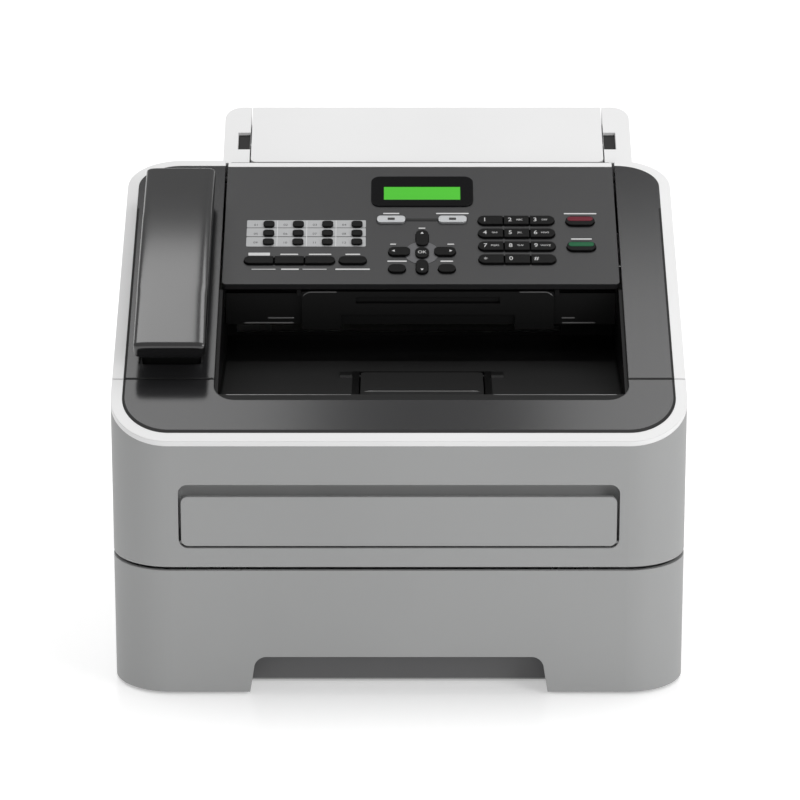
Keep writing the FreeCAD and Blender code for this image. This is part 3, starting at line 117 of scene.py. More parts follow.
def span(node: bpy.types.Object) -> np.ndarray:
    """Find the box of a CAD node along the deck.

    Formula: turn the vertices back by the deck's slope and take the least and greatest of each coordinate.

    Args:
        node: the CAD node.
    Returns:
        Array ((x, v, w) least, (x, v, w) greatest) in deck millimetres.
    """
    flat = np.empty(len(node.data.vertices) * 3)
    node.data.vertices.foreach_get("co", flat)
    x, y, z = flat.reshape(-1, 3).T / MM
    c, s = math.cos(DECK_ANGLE), math.sin(DECK_ANGLE)
    y, z = y - DECK_FRONT_Y, z - DECK_FRONT_Z
    points = np.stack([x, y * c + z * s, z * c - y * s], -1)
    return np.stack([points.min(0), points.max(0)])


def plain_box(node: bpy.types.Object) -> np.ndarray:
    """Find the box of a CAD node along the part's own axes.

    Args:
        node: the CAD node.
    Returns:
        Array ((x, y, z) least, (x, y, z) greatest) in millimetres.
    """
    flat = np.empty(len(node.data.vertices) * 3)
    node.data.vertices.foreach_get("co", flat)
    points = flat.reshape(-1, 3) / MM
    return np.stack([points.min(0), points.max(0)])


def spot(node: bpy.types.Object) -> tuple[float, float, float]:
    """Find the middle of a CAD node's top on the deck.

    Args:
        node: the CAD node.
    Returns:
        (x, v, w) in deck millimetres.
    """
    low, high = span(node)
    return (low[0] + high[0]) / 2, (low[1] + high[1]) / 2, high[2]


def surface(name: str, points: np.ndarray, wrap: bool, smooth: bool = True) -> bpy.types.Object:
    """Make a mesh object from a grid of points.

    Args:
        name: object name.
        points: array (rows, columns, 3) in metres.
        wrap: whether the last column joins the first.
        smooth: whether faces are shaded smooth.
    Returns:
        The new object, linked to the scene.
    """
    rows, cols = points.shape[:2]
    index = np.arange(rows * cols).reshape(rows, cols)
    right = np.roll(index, -1, axis=1) if wrap else index[:, 1:]
    left = index if wrap else index[:, :-1]
    quads = np.stack([left[:-1], right[:-1], right[1:], left[1:]], -1).reshape(-1, 4)
    mesh = bpy.data.meshes.new(name)
    mesh.from_pydata(points.reshape(-1, 3), [], quads)
    mesh.polygons.foreach_set("use_smooth", np.full(len(quads), smooth))
    mesh.update()
    item = bpy.data.objects.new(name, mesh)
    bpy.context.scene.collection.objects.link(item)
    return item


def outline(half_x: float, half_v: float, r: float, count: int = 64) -> tuple[np.ndarray, np.ndarray]:
    """Rounded rectangle round the origin.

    Formula: x = sign(cos t)(half_x - r) + r cos t, v = sign(sin t)(half_v - r) + r sin t, for t round a turn.

    Args:
        half_x, half_v: half sizes.
        r: corner radius.
        count: number of points.
    Returns:
        The x and v of the points.
    """
    t = (np.arange(count) + 0.5) * 2 * np.pi / count
    return (
        np.sign(np.cos(t)) * (half_x - r) + r * np.cos(t),
        np.sign(np.sin(t)) * (half_v - r) + r * np.sin(t),
    )


def pad(name: str, box: tuple, low: float, top: float, ease: Ease, r: float, edge: float = 0.6) -> bpy.types.Object:
    """Rounded plate on the deck.

    Formula: ring k of the outline is drawn in by e(1 - sin a) and stands at top - e(1 - cos a), where a runs from
    a quarter turn at the side to nothing on the top; the last ring is the middle line.

    Args:
        name: object name.
        box: (x0, x1, v0, v1) in deck millimetres.
        low, top: heights of the underside and the top.
        ease: form of the edge.
        r: corner radius.
        edge: radius of the rounded edge.
    Returns:
        The new object.
    """
    x0, x1, v0, v1 = box
    half_x, half_v = (x1 - x0) / 2, (v1 - v0) / 2
    r = min(r, half_x - 0.01, half_v - 0.01)
    e = min(edge, r * 0.9, top - low) if ease is Ease.ROUND else 0.0
    turns = np.linspace(0, np.pi / 2, ease.value + 2)
    insets = np.concatenate([[0.0], e * (1 - np.cos(turns))])
    heights = np.concatenate([[low], top - e * (1 - np.sin(turns))])
    rings = [outline(half_x - i, half_v - i, max(r - i, 0.005)) for i in insets]
    xs = np.stack([ring[0] for ring in rings] + [rings[-1][0] * 0.0])
    vs = np.stack([ring[1] for ring in rings] + [rings[-1][1] * 0.0])
    ws = np.concatenate([heights, heights[-1:]])[:, None] * np.ones(xs.shape[1])
    return surface(name, deck((x0 + x1) / 2 + xs, (v0 + v1) / 2 + vs, ws), True, ease is Ease.ROUND)


def group_grain() -> bpy.types.NodeTree:
    """Shared effect: moulded grain, soft edges and a faint mottling.

    Returns:
        Node group with Scale, Depth and Edge in, and Normal and Mottle out.
    """
    tree = bpy.data.node_groups.new("moulded_grain", "ShaderNodeTree")
    for name, value in (("Scale", 900.0), ("Depth", 0.05), ("Edge", 0.0006)):
        tree.interface.new_socket(name, in_out="INPUT", socket_type="NodeSocketFloat").default_value = value
    tree.interface.new_socket("Normal", in_out="OUTPUT", socket_type="NodeSocketVector")
    tree.interface.new_socket("Mottle", in_out="OUTPUT", socket_type="NodeSocketFloat")
    nodes, links = tree.nodes, tree.links
    start, end = nodes.new("NodeGroupInput"), nodes.new("NodeGroupOutput")
    place = nodes.new("ShaderNodeTexCoord")
    fine, broad = nodes.new("ShaderNodeTexNoise"), nodes.new("ShaderNodeTexNoise")
    broad.inputs["Scale"].default_value = 9.0
    fine.inputs["Detail"].default_value = 2.0
    bump, bevel = nodes.new("ShaderNodeBump"), nodes.new("ShaderNodeBevel")
    bevel.samples = 4
    bump.inputs["Distance"].default_value = 0.0002
    links.new(place.outputs["Object"], fine.inputs["Vector"])
    links.new(place.outputs["Object"], broad.inputs["Vector"])
    links.new(start.outputs["Scale"], fine.inputs["Scale"])
    links.new(start.outputs["Depth"], bump.inputs["Strength"])
    links.new(start.outputs["Edge"], bevel.inputs["Radius"])
    links.new(bevel.outputs["Normal"], bump.inputs["Normal"])
    links.new(fine.outputs["Fac"], bump.inputs["Height"])
    links.new(bump.outputs["Normal"], end.inputs["Normal"])
    links.new(broad.outputs["Fac"], end.inputs["Mottle"])
    return tree


@dataclass(frozen=True)
class Finish:
    """One moulded, printed or metal finish.

    Args:
        name: material name.
        colour: linear base colour.
        rough: roughness.
        grain: size of the moulded grain, per metre.
        depth: strength of the grain.
        edge: radius of the softened edges in metres.
        metal: metallic share.
        spread: how far the mottling changes colour and roughness.
        glow: emission strength, for the display.
        sheen: strength of the reflection at right angles.
    """

    name: str
    colour: tuple[float, float, float]
    rough: float = 0.45
    grain: float = 1500.0
    depth: float = 0.08
    edge: float = 0.0006
    metal: float = 0.0
    spread: float = 0.05
    glow: float = 0.0
    sheen: float = 0.5

    def build(self, grain: bpy.types.NodeTree) -> bpy.types.Material:
        """Make the material.

        Args:
            grain: the shared grain group.
        Returns:
            The material.
        """
        material = bpy.data.materials.new(self.name)
        material.use_nodes = True
        nodes, links = material.node_tree.nodes, material.node_tree.links
        shader = nodes["Principled BSDF"]
        effect = nodes.new("ShaderNodeGroup")
        effect.node_tree = grain
        effect.inputs["Scale"].default_value = self.grain
        effect.inputs["Depth"].default_value = self.depth
        effect.inputs["Edge"].default_value = self.edge
        links.new(effect.outputs["Normal"], shader.inputs["Normal"])
        tint = nodes.new("ShaderNodeMix")
        tint.data_type = "RGBA"
        low = tuple(c * (1 - self.spread) for c in self.colour)
        high = tuple(min(1.0, c * (1 + self.spread)) for c in self.colour)
        tint.inputs["A"].default_value = (*low, 1.0)
        tint.inputs["B"].default_value = (*high, 1.0)
        links.new(effect.outputs["Mottle"], tint.inputs["Factor"])
        links.new(tint.outputs["Result"], shader.inputs["Base Color"])
        gloss = nodes.new("ShaderNodeMapRange")
        gloss.inputs["To Min"].default_value = self.rough * (1 - self.spread)
        gloss.inputs["To Max"].default_value = min(1.0, self.rough * (1 + self.spread))
        links.new(effect.outputs["Mottle"], gloss.inputs["Value"])
        links.new(gloss.outputs["Result"], shader.inputs["Roughness"])
        shader.inputs["Metallic"].default_value = self.metal
        shader.inputs["Specular IOR Level"].default_value = self.sheen
        if self.glow:
            links.new(tint.outputs["Result"], shader.inputs["Emission Color"])
            shader.inputs["Emission Strength"].default_value = self.glow
        return material


FINISHES = (
    Finish("grey_shell", (0.335, 0.338, 0.338), 0.5, depth=0.10),
    Finish("white_shell", (0.81, 0.81, 0.81), 0.38, depth=0.04),
    Finish("deck_dark", (0.018, 0.018, 0.019), 0.16, depth=0.05),
    Finish("panel_dark", (0.018, 0.018, 0.019), 0.38, depth=0.10),
    Finish("tray_black", (0.0035, 0.0035, 0.0035), 0.38, depth=0.05, sheen=0.16),
    Finish("handset_black", (0.005, 0.005, 0.0055), 0.19, depth=0.03, sheen=1.0),
    Finish("key_black", (0.004, 0.004, 0.004), 0.34, depth=0.02, edge=0.0011, sheen=0.1),
    Finish("key_silver", (0.50, 0.51, 0.52), 0.32, metal=0.55, depth=0.03, edge=0.0008),
    Finish("key_red", (0.13, 0.006, 0.018), 0.4, depth=0.02, edge=0.0011, sheen=0.2),
    Finish("key_green", (0.004, 0.10, 0.036), 0.4, depth=0.02, edge=0.0011, sheen=0.2),
    Finish("gloss_black", (0.003, 0.003, 0.0035), 0.16, depth=0.0, edge=0.0008, sheen=0.1),
    Finish("display_green", (0.055, 0.40, 0.022), 0.3, depth=0.0, edge=0.0, glow=0.35, sheen=0.2),
    Finish("label_silver", (0.40, 0.405, 0.41), 0.42, metal=0.2, depth=0.02, edge=0.0),
    Finish("print_white", (0.62, 0.62, 0.62), 0.5, depth=0.0, edge=0.0),
    Finish("print_dark", (0.02, 0.02, 0.02), 0.5, depth=0.0, edge=0.0),
    Finish("disc_grey", (0.12, 0.12, 0.125), 0.30, metal=0.6, depth=0.02, edge=0.0008),
    # painted light: a lighter copy of the tray's black for the lit front of the well
    Finish("floor_painted_light", (0.017, 0.017, 0.017), 0.42, depth=0.08, sheen=0.2),
    Finish("lip_black", (0.006, 0.006, 0.006), 0.42, depth=0.05, sheen=0.15),
    # painted highlight: light grey beads on black parts stand in for the glints along their edges
    Finish("bead_painted_highlight", (0.11, 0.11, 0.11), 0.16, depth=0.0, edge=0.0, sheen=1.0),
    # painted shade: darker grey for the shade inside the finger notch
    Finish("notch_painted_shade", (0.12, 0.12, 0.122), 0.6, depth=0.05, edge=0.0),
    # dark seams and print, also used as painted shade in the chute's hinge pockets
    Finish("dark_seams_and_pocket_shade", (0.004, 0.004, 0.004), 0.7, depth=0.0, edge=0.0),
    Finish("steel_plate", (0.52, 0.52, 0.53), 0.32, grain=400.0, metal=1.0, depth=0.04),
    Finish("rubber_black", (0.018, 0.018, 0.018), 0.8, depth=0.15),
    Finish("drum_teal", (0.03, 0.20, 0.17), 0.14, metal=0.4, depth=0.0),
    Finish("fuser_coat", (0.08, 0.07, 0.065), 0.3, metal=0.3, depth=0.02),
    Finish("gear_ivory", (0.62, 0.58, 0.48), 0.45, depth=0.03),
    Finish("board_green", (0.012, 0.10, 0.035), 0.4, depth=0.05),
)

NODE_FINISH = {
    "grey_shell": (
        "front_cover manual_feed_cover tray_front left_side_cover right_side_cover rear_panel rear_cover"
    ),
    "white_shell": "front_rim side_rim document_chute document_support",
    "deck_dark": "deck_cover front_deck",
    "panel_dark": "control_panel",
    "tray_black": (
        "output_tray adf_lower_guide document_exit_flap hook_switch tray_bin paper_guide_left "
        "paper_guide_right rear_guide fuser_housing toner_cartridge laser_unit line_sockets scan_sensor speaker"
    ),
    # painted light: the support flap gets the lighter, lit copy of the tray's black
    "floor_painted_light": "support_flap",
    "handset_black": "handset",
    "key_black": (
        "one_touch_keys function_keys up_key down_key left_key right_key ok_key clear_key menu_key "
        "dial_keys_row_1 dial_keys_row_2 dial_keys_row_3 dial_keys_row_4 stop_key start_key"
    ),
    "key_silver": "mode_keys",
    "gloss_black": "lcd_bezel",
    "display_green": "lcd_screen",
    "steel_plate": "base_frame lift_plate main_motor motor_pinion frame_screws",
    "rubber_black": "rubber_feet pickup_roller adf_feed_roller",
    "drum_teal": "drum",
    "fuser_coat": "fuser_roller",
    "gear_ivory": "idler_gear",
    "board_green": "circuit_boards",
}


@dataclass
class Dresser:
    """Holds the finishes and puts dressed pieces on their bodies.

    Args:
        nodes: CAD nodes by name.
    """

    nodes: dict
    materials: dict = field(default_factory=dict)

    def build(self) -> None:
        """Make the materials and put them on the CAD nodes."""
        grain = group_grain()
        self.materials = {finish.name: finish.build(grain) for finish in FINISHES}
        for finish, names in NODE_FINISH.items():
            for name in names.split():
                mesh = self.nodes[name].data
                mesh.materials.clear()
                mesh.materials.append(self.materials[finish])

    def dress(self, item: bpy.types.Object, body: str, finish: str, slot: str) -> bpy.types.Object:
        """Give a piece its finish and body.

        Args:
            item: the piece.
            body: body it rides on.
            finish: name of its finish.
            slot: not used.
        Returns:
            The piece.
        """
        item.data.materials.clear()
        item.data.materials.append(self.materials[finish])
        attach(item, body)
        return item

    def legend(self, name: str, text: str, at: tuple, size: float, body: str, finish: str, slot: str) -> None:
        """Print a word or digit flat on the deck.

        Args:
            name: piece name.
            text: letters to print.
            at: (x, v, w) of its middle, in deck millimetres.
            size: letter size in millimetres.
            body, finish, slot: as for dress.
        """
        curve = bpy.data.curves.new(name + "_curve", "FONT")
        curve.body = text
        curve.align_x = "CENTER"
        curve.align_y = "CENTER"
        curve.size = size
        curve.resolution_u = 3
        holder = bpy.data.objects.new(name + "_source", curve)
        mesh = bpy.data.meshes.new_from_object(holder)
        flat = np.empty(len(mesh.vertices) * 3)
        mesh.vertices.foreach_get("co", flat)
        flat = flat.reshape(-1, 3)
        points = deck(at[0] + flat[:, 0], at[1] + flat[:, 1], np.full(len(flat), at[2]))
        mesh.vertices.foreach_set("co", points.ravel())
        mesh.update()
        bpy.data.objects.remove(holder)
        item = bpy.data.objects.new(name, mesh)
        bpy.context.scene.collection.objects.link(item)
        self.dress(item, body, finish, slot)


@dataclass
class Handset:
    """Sculpted handset in place of the plain CAD one.

    Args:
        node: the CAD handset, which gives its place and size.
        under, grip_under: heights of the underside at the ends and at the grip.
        crown: rise of the back between its ends.
        edge: radius of the rounded ends.
        cap: length of an end cap, and inset its distance from the end.
    """

    node: bpy.types.Object
    under: float = 12.0
    grip_under: float = 15.5
    crown: float = 5.0
    edge: float = 3.0
    cap: float = 38.0
    inset: float = 10.0

    def build(self) -> bpy.types.Object:
        """Shape the handset.

        Formula: the section at u along the bar is the superellipse |x/a|^8 + |w/b|^5 = 1 about the bar's middle
        height; within the edge radius of an end, all its half sizes draw in by edge(1 - sin) of the turn there;
        the first and last ring shrink to their middle.

        Returns:
            The handset's mesh object.
        """
        low, high = span(self.node)
        length = high[1] - low[1]
        turn = np.linspace(0, np.pi / 2, 12)
        ends = self.edge * (1 - np.cos(turn))
        u = np.concatenate([ends, np.linspace(self.edge + 1, length - self.edge - 1, 60), length - ends[::-1]])
        near = np.clip(np.minimum(u, length - u) / self.edge, 0, 1)
        draw = self.edge * (1 - np.sqrt(1 - (1 - near) ** 2))
        roof = high[2] - self.crown * (2 * u / length - 1) ** 2 - draw
        grip = np.clip((np.minimum(u, length - u) - self.inset - self.cap) / 8.0, 0, 1)
        floor = self.under + (self.grip_under - self.under) * grip * grip * (3 - 2 * grip) + draw * 0.6
        a = (high[0] - low[0]) / 2 - draw
        centre, b = (roof + floor) / 2, (roof - floor) / 2
        shrink = np.concatenate([[0.0], np.ones(len(u)), [0.0]])
        u, a, b, centre = (np.concatenate([k[:1], k, k[-1:]]) for k in (u, a, b, centre))
        t = np.arange(96) * 2 * np.pi / 96
        ct, st = np.cos(t), np.sin(t)
        xs = (low[0] + high[0]) / 2 + (a * shrink)[:, None] * np.sign(ct) * np.abs(ct) ** 0.25
        ws = centre[:, None] + (b * shrink)[:, None] * np.sign(st) * np.abs(st) ** 0.40
        return surface("handset_shell", deck(xs, low[1] + u[:, None], ws), True)

    def dress(self, dresser: Dresser) -> None:
        """Put the handset and its two caps in place of the CAD node.

        Args:
            dresser: the dresser.
        """
        low, high = span(self.node)
        shell = dresser.dress(self.build(), Body.HANDSET.value, "handset_black", "handset")
        for name, v0 in (("mouth_cap", low[1] + self.inset), ("ear_cap", high[1] - self.inset - self.cap)):
            place = (low[0] + 4.0, high[0] - 4.0, v0, v0 + self.cap)
            cap = pad(name, place, low[2], self.under + 2.0, Ease.ROUND, 6.0, 1.0)
            dresser.dress(cap, Body.HANDSET.value, "tray_black", "handset")
        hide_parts("handset")


@dataclass
class WellTrim:
    """Black lip, seams and beads coloured as painted highlights round the output well, painted shade in the chute's
    hinge pockets and the finger notch, and a front floor coloured as painted light.

    Args:
        x0, x1: sides of the well's opening.
        front: front edge of the opening, up the slope.
        lip: rear edge of its black lip.
        corner: radius of the opening's front corners.
        seam_w: width of the dark seams.
        cross_v: place of the seam across the deck, up the slope.
        deck_half: half width of the dark deck.
        floor_rear: rear edge of the well's front floor, coloured lighter than the shaded back as painted light, in
            plan from the front.
        notch_top, notch_low: half widths of the grey sheet on the finger notch's back, which paints the shade there.
        rib_y: place of the rib across the support flap; its bead is coloured light grey as a painted highlight.
        bead_r: radius of the thin beads.
        bend_drop: how far a bent bead's end drops.
        guide_step: how far the guide's lower wall stands behind its front edge.
        lip_drop: depth of the black lip under the deck.
        rim_half, rim_front, rim_r: half width, front and corner radius of the deck's outline in plan.
        pocket_x, pocket_w, pocket_v, pocket_drop: middles, width, reach up the slope and depth of the hinge pockets.
        notch_z, notch_depth: heights of the notch's back and its distance from the front.
        block, block_half, block_h: width, half length and height of the flap's hinge blocks.
        clear: clearance round the support flap.
    """

    x0: float = -118.5
    x1: float = 147.3
    front: float = 39.2
    lip: float = 47.8
    corner: float = 14.0
    seam_w: float = 1.5
    cross_v: float = 59.4
    deck_half: float = 176.2
    floor_rear: float = 142.0
    notch_top: float = 92.4
    notch_low: float = 94.8
    rib_y: float = DECK_FRONT_Y + 74.0
    bead_r: float = 0.6
    bend_drop: float = 3.0
    guide_step: float = 4.3
    lip_drop: float = 2.94
    rim_half: float = 176.7
    rim_front: float = 7.3
    rim_r: float = 31.2
    pocket_x: tuple = (-106.8, 145.4)
    pocket_w: float = 8.0
    pocket_v: tuple = (302.2, 320.4)
    pocket_drop: float = 6.1
    notch_z: tuple = (3.0, 24.5)
    notch_depth: float = 21.8
    block: float = 8.0
    block_half: float = 6.0
    block_h: float = 1.4
    clear: float = 2.0

    def build(self, dresser: Dresser) -> None:
        """Make the lip, the dark seam round the deck, and the painted shade at the bottom of the hinge pockets.

        Args:
            dresser: the dresser.
        """
        x = np.linspace(self.x0 + 3.0, self.x1 - 3.0, 240)
        reach = np.abs(x - (self.x0 + self.x1) / 2) - (self.x1 - self.x0) / 2 + self.corner
        edge = self.front + self.corner - np.sqrt(self.corner**2 - np.clip(reach, 0, self.corner) ** 2)
        rows = np.stack([np.minimum(edge, self.lip - 0.1), np.full(x.shape, self.lip - 0.05)])
        lip = surface("well_lip", deck(np.stack([x, x]), rows, np.full(rows.shape, -self.lip_drop)), False)
        dresser.dress(lip, Body.FRONT.value, "lip_black", "front_deck")
        self.lines(dresser)
        self.floor(dresser)
        for name, v0, v1, body, slot in (
            ("front_seam", 0.0, 53.4, Body.FRONT.value, "front_deck"),
            ("side_seam", 54.6, 212.0, Body.CHASSIS.value, "deck_cover"),
        ):
            self.seam(dresser, name, v0, v1, body, slot)
        # painted shade: a near-black plate at the bottom of each hinge pocket stands in for the shade in the recess
        for n, x in enumerate(self.pocket_x):
            place = (x - self.pocket_w / 2, x + self.pocket_w / 2, *self.pocket_v)
            pocket = pad("hinge_pocket_%d" % n, place, -self.pocket_drop - PRINT_H, -self.pocket_drop, Ease.PRINT, 0.4)
            dresser.dress(pocket, Body.CHASSIS.value, "dark_seams_and_pocket_shade", "document_chute")
        # painted shade: a grey sheet darker than the shell stands on the finger notch's back wall in place of the
        # shade in the notch
        u, zs = np.meshgrid(np.linspace(-1.0, 1.0, 12), np.linspace(*self.notch_z, 6))
        xs = u * np.interp(zs, self.notch_z, (self.notch_low, self.notch_top))
        back = np.stack([xs, np.full(xs.shape, DECK_FRONT_Y + self.notch_depth), zs], -1) * MM
        dresser.dress(surface("notch_back", back, False), Body.TRAY.value, "notch_painted_shade", "tray_front")

    def lines(self, dresser: Dresser) -> None:
        """Draw the dark seam across the deck beside the well, and a painted highlight: a thin light grey strip along
        the rear edge of the black lip.

        Args:
            dresser: the dresser.
        """
        low, high = plain_box(dresser.nodes["support_flap"])
        for side, a, b in (("left", -self.deck_half, self.x0 - 0.6), ("right", self.x1 + 0.6, self.deck_half)):
            place = (a, b, self.cross_v, self.cross_v + 1.1)
            seam = pad("cross_seam_" + side, place, PRINT_LOW, PRINT_H, Ease.PRINT, 0.2)
            dresser.dress(seam, Body.CHASSIS.value, "dark_seams_and_pocket_shade", "deck_cover")
        low_w = PRINT_LOW - self.lip_drop
        ends = (("left", self.x0 + 8.0, low[0] - self.clear), ("right", high[0] + self.clear, self.x1 - 8.0))
        # painted highlight: a thin light grey strip along the lip's rear edge
        for side, a, b in ends:
            place = (a, b, self.lip - 0.6, self.lip - 0.15)
            line = pad("lip_line_" + side, place, low_w, PRINT_H - self.lip_drop, Ease.PRINT, 0.15)
            dresser.dress(line, Body.FRONT.value, "bead_painted_highlight", "front_deck")

    def floor(self, dresser: Dresser) -> None:
        """Lay the front floor of the well round the support flap, coloured lighter than the shaded back as painted
        light, with the flap's two hinge blocks.

        Formula: flat grids 0.05 mm above the floor, which is level with the flap's top; a block is a bowed sheet
        z = top + h (1 - s^4) for s from -1 to 1 across it.

        Args:
            dresser: the dresser.
        """
        low, high = plain_box(dresser.nodes["support_flap"])
        top, front, clear = high[2] + 0.05, low[1] + 1.0, self.clear
        rear = DECK_FRONT_Y + self.floor_rear
        # painted light: the front floor sheets are lighter than the tray's black back, where light falls
        for name, a, b, near in (
            ("left", self.x0 + 4.0, low[0] - clear, front),
            ("right", high[0] + clear, self.x1 - 4.0, front),
            ("rear", low[0] - clear, high[0] + clear, high[1] + clear),
        ):
            xs, ys = np.meshgrid(np.linspace(a, b, 8), np.linspace(near, rear, 8))
            sheet = surface("well_floor_" + name, np.stack([xs, ys, np.full(xs.shape, top)], -1) * MM, False)
            dresser.dress(sheet, Body.CHASSIS.value, "floor_painted_light", "output_tray")
        for name, a in (("left", low[0] - clear - self.block), ("right", high[0] + clear)):
            s, u = np.meshgrid(np.linspace(-1, 1, 17), np.linspace(0, 1, 8))
            ys, zs = high[1] + self.block_half * (s - 1.0), top + self.block_h * (1 - s**4)
            block = surface("hinge_block_" + name, np.stack([a + self.block * u, ys, zs], -1) * MM, False)
            dresser.dress(block, Body.CHASSIS.value, "lip_black", "output_tray")

    def seam(self, dresser: Dresser, name: str, y0: float, y1: float, body: str, slot: str) -> None:
        """Draw the dark seam between the deck and its rim.

        Formula: the plan outline at an inset from the rim, straight sides joined by corner arcs about (half - r, r);
        points before y0 and after y1 are left out, the height follows the deck's slope, and the strip is wider at
        the front, where the rim hides part of it.

        Args:
            dresser: the dresser.
            name: piece name.
            y0, y1: part of the sides that it covers, in plan from the front.
            body, slot: as for dress.
        """
        half, front, r = self.rim_half, self.rim_front, self.rim_r
        for side in (-1, 1):
            turn = np.linspace(0, np.pi / 2, 30)
            arc_x, arc_y = half - r + r * np.sin(turn), front + r - r * np.cos(turn)
            path_x = np.concatenate([[0.0], arc_x, [half]])
            path_y = np.concatenate([[front], arc_y, [max(y1, front + r)]])
            nx = np.concatenate([[0.0], np.sin(turn), [1.0]])
            ny = np.concatenate([[-1.0], -np.cos(turn), [0.0]])
            keep = path_y >= y0 - 0.01
            if y0 > front + r:
                path_x, path_y = np.array([half, half]), np.array([y0, y1])
                nx, ny = np.array([1.0, 1.0]), np.array([0.0, 0.0])
                keep = np.array([True, True])
            width = np.array([[0.0], [self.seam_w]]) * (1.0 + 0.8 * np.abs(ny))
            xs = side * (path_x - nx * width)[:, keep]
            ys = (path_y - ny * width)[:, keep]
            points = np.stack([xs, DECK_FRONT_Y + ys, DECK_FRONT_Z + ys * math.tan(DECK_ANGLE) + 0.06], -1) * MM
            piece = surface("%s_%s" % (name, "left" if side < 0 else "right"), points, False)
            dresser.dress(piece, body, "dark_seams_and_pocket_shade", slot)

    def dress(self, dresser: Dresser) -> None:
        """Add thin raised beads on the exit flap, the support flap and the guide behind them; their light grey colour
        paints the highlights along these edges.

        Args:
            dresser: the dresser.
        """
        wing_low, wing_high = plain_box(dresser.nodes["document_exit_flap"])
        flap_low, flap_high = plain_box(dresser.nodes["support_flap"])
        guide_low, _ = plain_box(dresser.nodes["adf_lower_guide"])
        chassis, guide_y = Body.CHASSIS.value, guide_low[1] + self.guide_step
        wing_y, wing_z = wing_low[1] - 0.2, wing_high[2] - 0.8
        exit_flap, support, guide = "document_exit_flap", "support_flap", "adf_lower_guide"
        left, right = wing_low[0], wing_high[0]
        # painted highlights: light grey beads on the wing tops, the flap's rib and the guide's edges; the rib and the
        # guide's edges are real, the brightness is painted
        runs = (
            ("wing_bead_left", left + 3.5, left + 26.5, wing_y, wing_z, -1, exit_flap, exit_flap),
            ("wing_bead_right", right - 26.5, right - 3.5, wing_y, wing_z, 1, exit_flap, exit_flap),
            ("flap_bead", flap_low[0] + 6.0, flap_high[0] - 6.0, self.rib_y, flap_high[2] + 0.2, 0, support, support),
            ("guide_rib_left", left - 36.0, left - 2.0, guide_y, guide_low[2] + 1.2, 0, chassis, guide),
            ("guide_rib_right", right + 2.0, right + 25.0, guide_y, guide_low[2] + 1.2, 0, chassis, guide),
            ("guide_line_left", left - 20.0, left - 2.0, guide_y, guide_low[2] + 4.6, 0, chassis, guide),
            ("guide_line_right", right + 2.0, right + 11.0, guide_y, guide_low[2] + 4.6, 0, chassis, guide),
        )
        for name, x0, x1, y, z, bend, body, slot in runs:
            self.bead(dresser, name, (x0, x1), y, z, bend, body, slot)

    def bead(
        self, dresser: Dresser, name: str, reach: tuple, y: float, z: float, bend: int, body: str, slot: str
    ) -> None:
        """Add a thin round bead along X, coloured light grey as a painted highlight.

        Formula: circle of radius r about (y, z) carried along X for u from -1 to 1, with r falling as a half circle
        at both ends; the end on the bend's side drops by d q^2, where q grows from 0 to 1 over the last stretch.

        Args:
            dresser: the dresser.
            name: piece name.
            reach: its ends in X.
            y, z: its middle line, in millimetres.
            bend: side whose end drops, -1 for left, 1 for right and 0 for neither.
            body, slot: as for dress.
        """
        t = np.arange(16) * 2 * np.pi / 16
        along = np.linspace(-1, 1, 24)[:, None]
        drop = self.bend_drop * np.clip((along * bend - 0.5) / 0.5, 0, 1) ** 2
        r = self.bead_r * np.sqrt(np.clip(1 - np.clip((np.abs(along) - 0.96) / 0.04, 0, 1) ** 2, 0, 1))
        xs = (reach[0] + reach[1]) / 2 + along * (reach[1] - reach[0]) / 2 + 0 * t
        points = np.stack([xs, y + r * np.cos(t), z - drop + r * np.sin(t)], -1) * MM
        dresser.dress(surface(name, points, True), body, "bead_painted_highlight", slot)


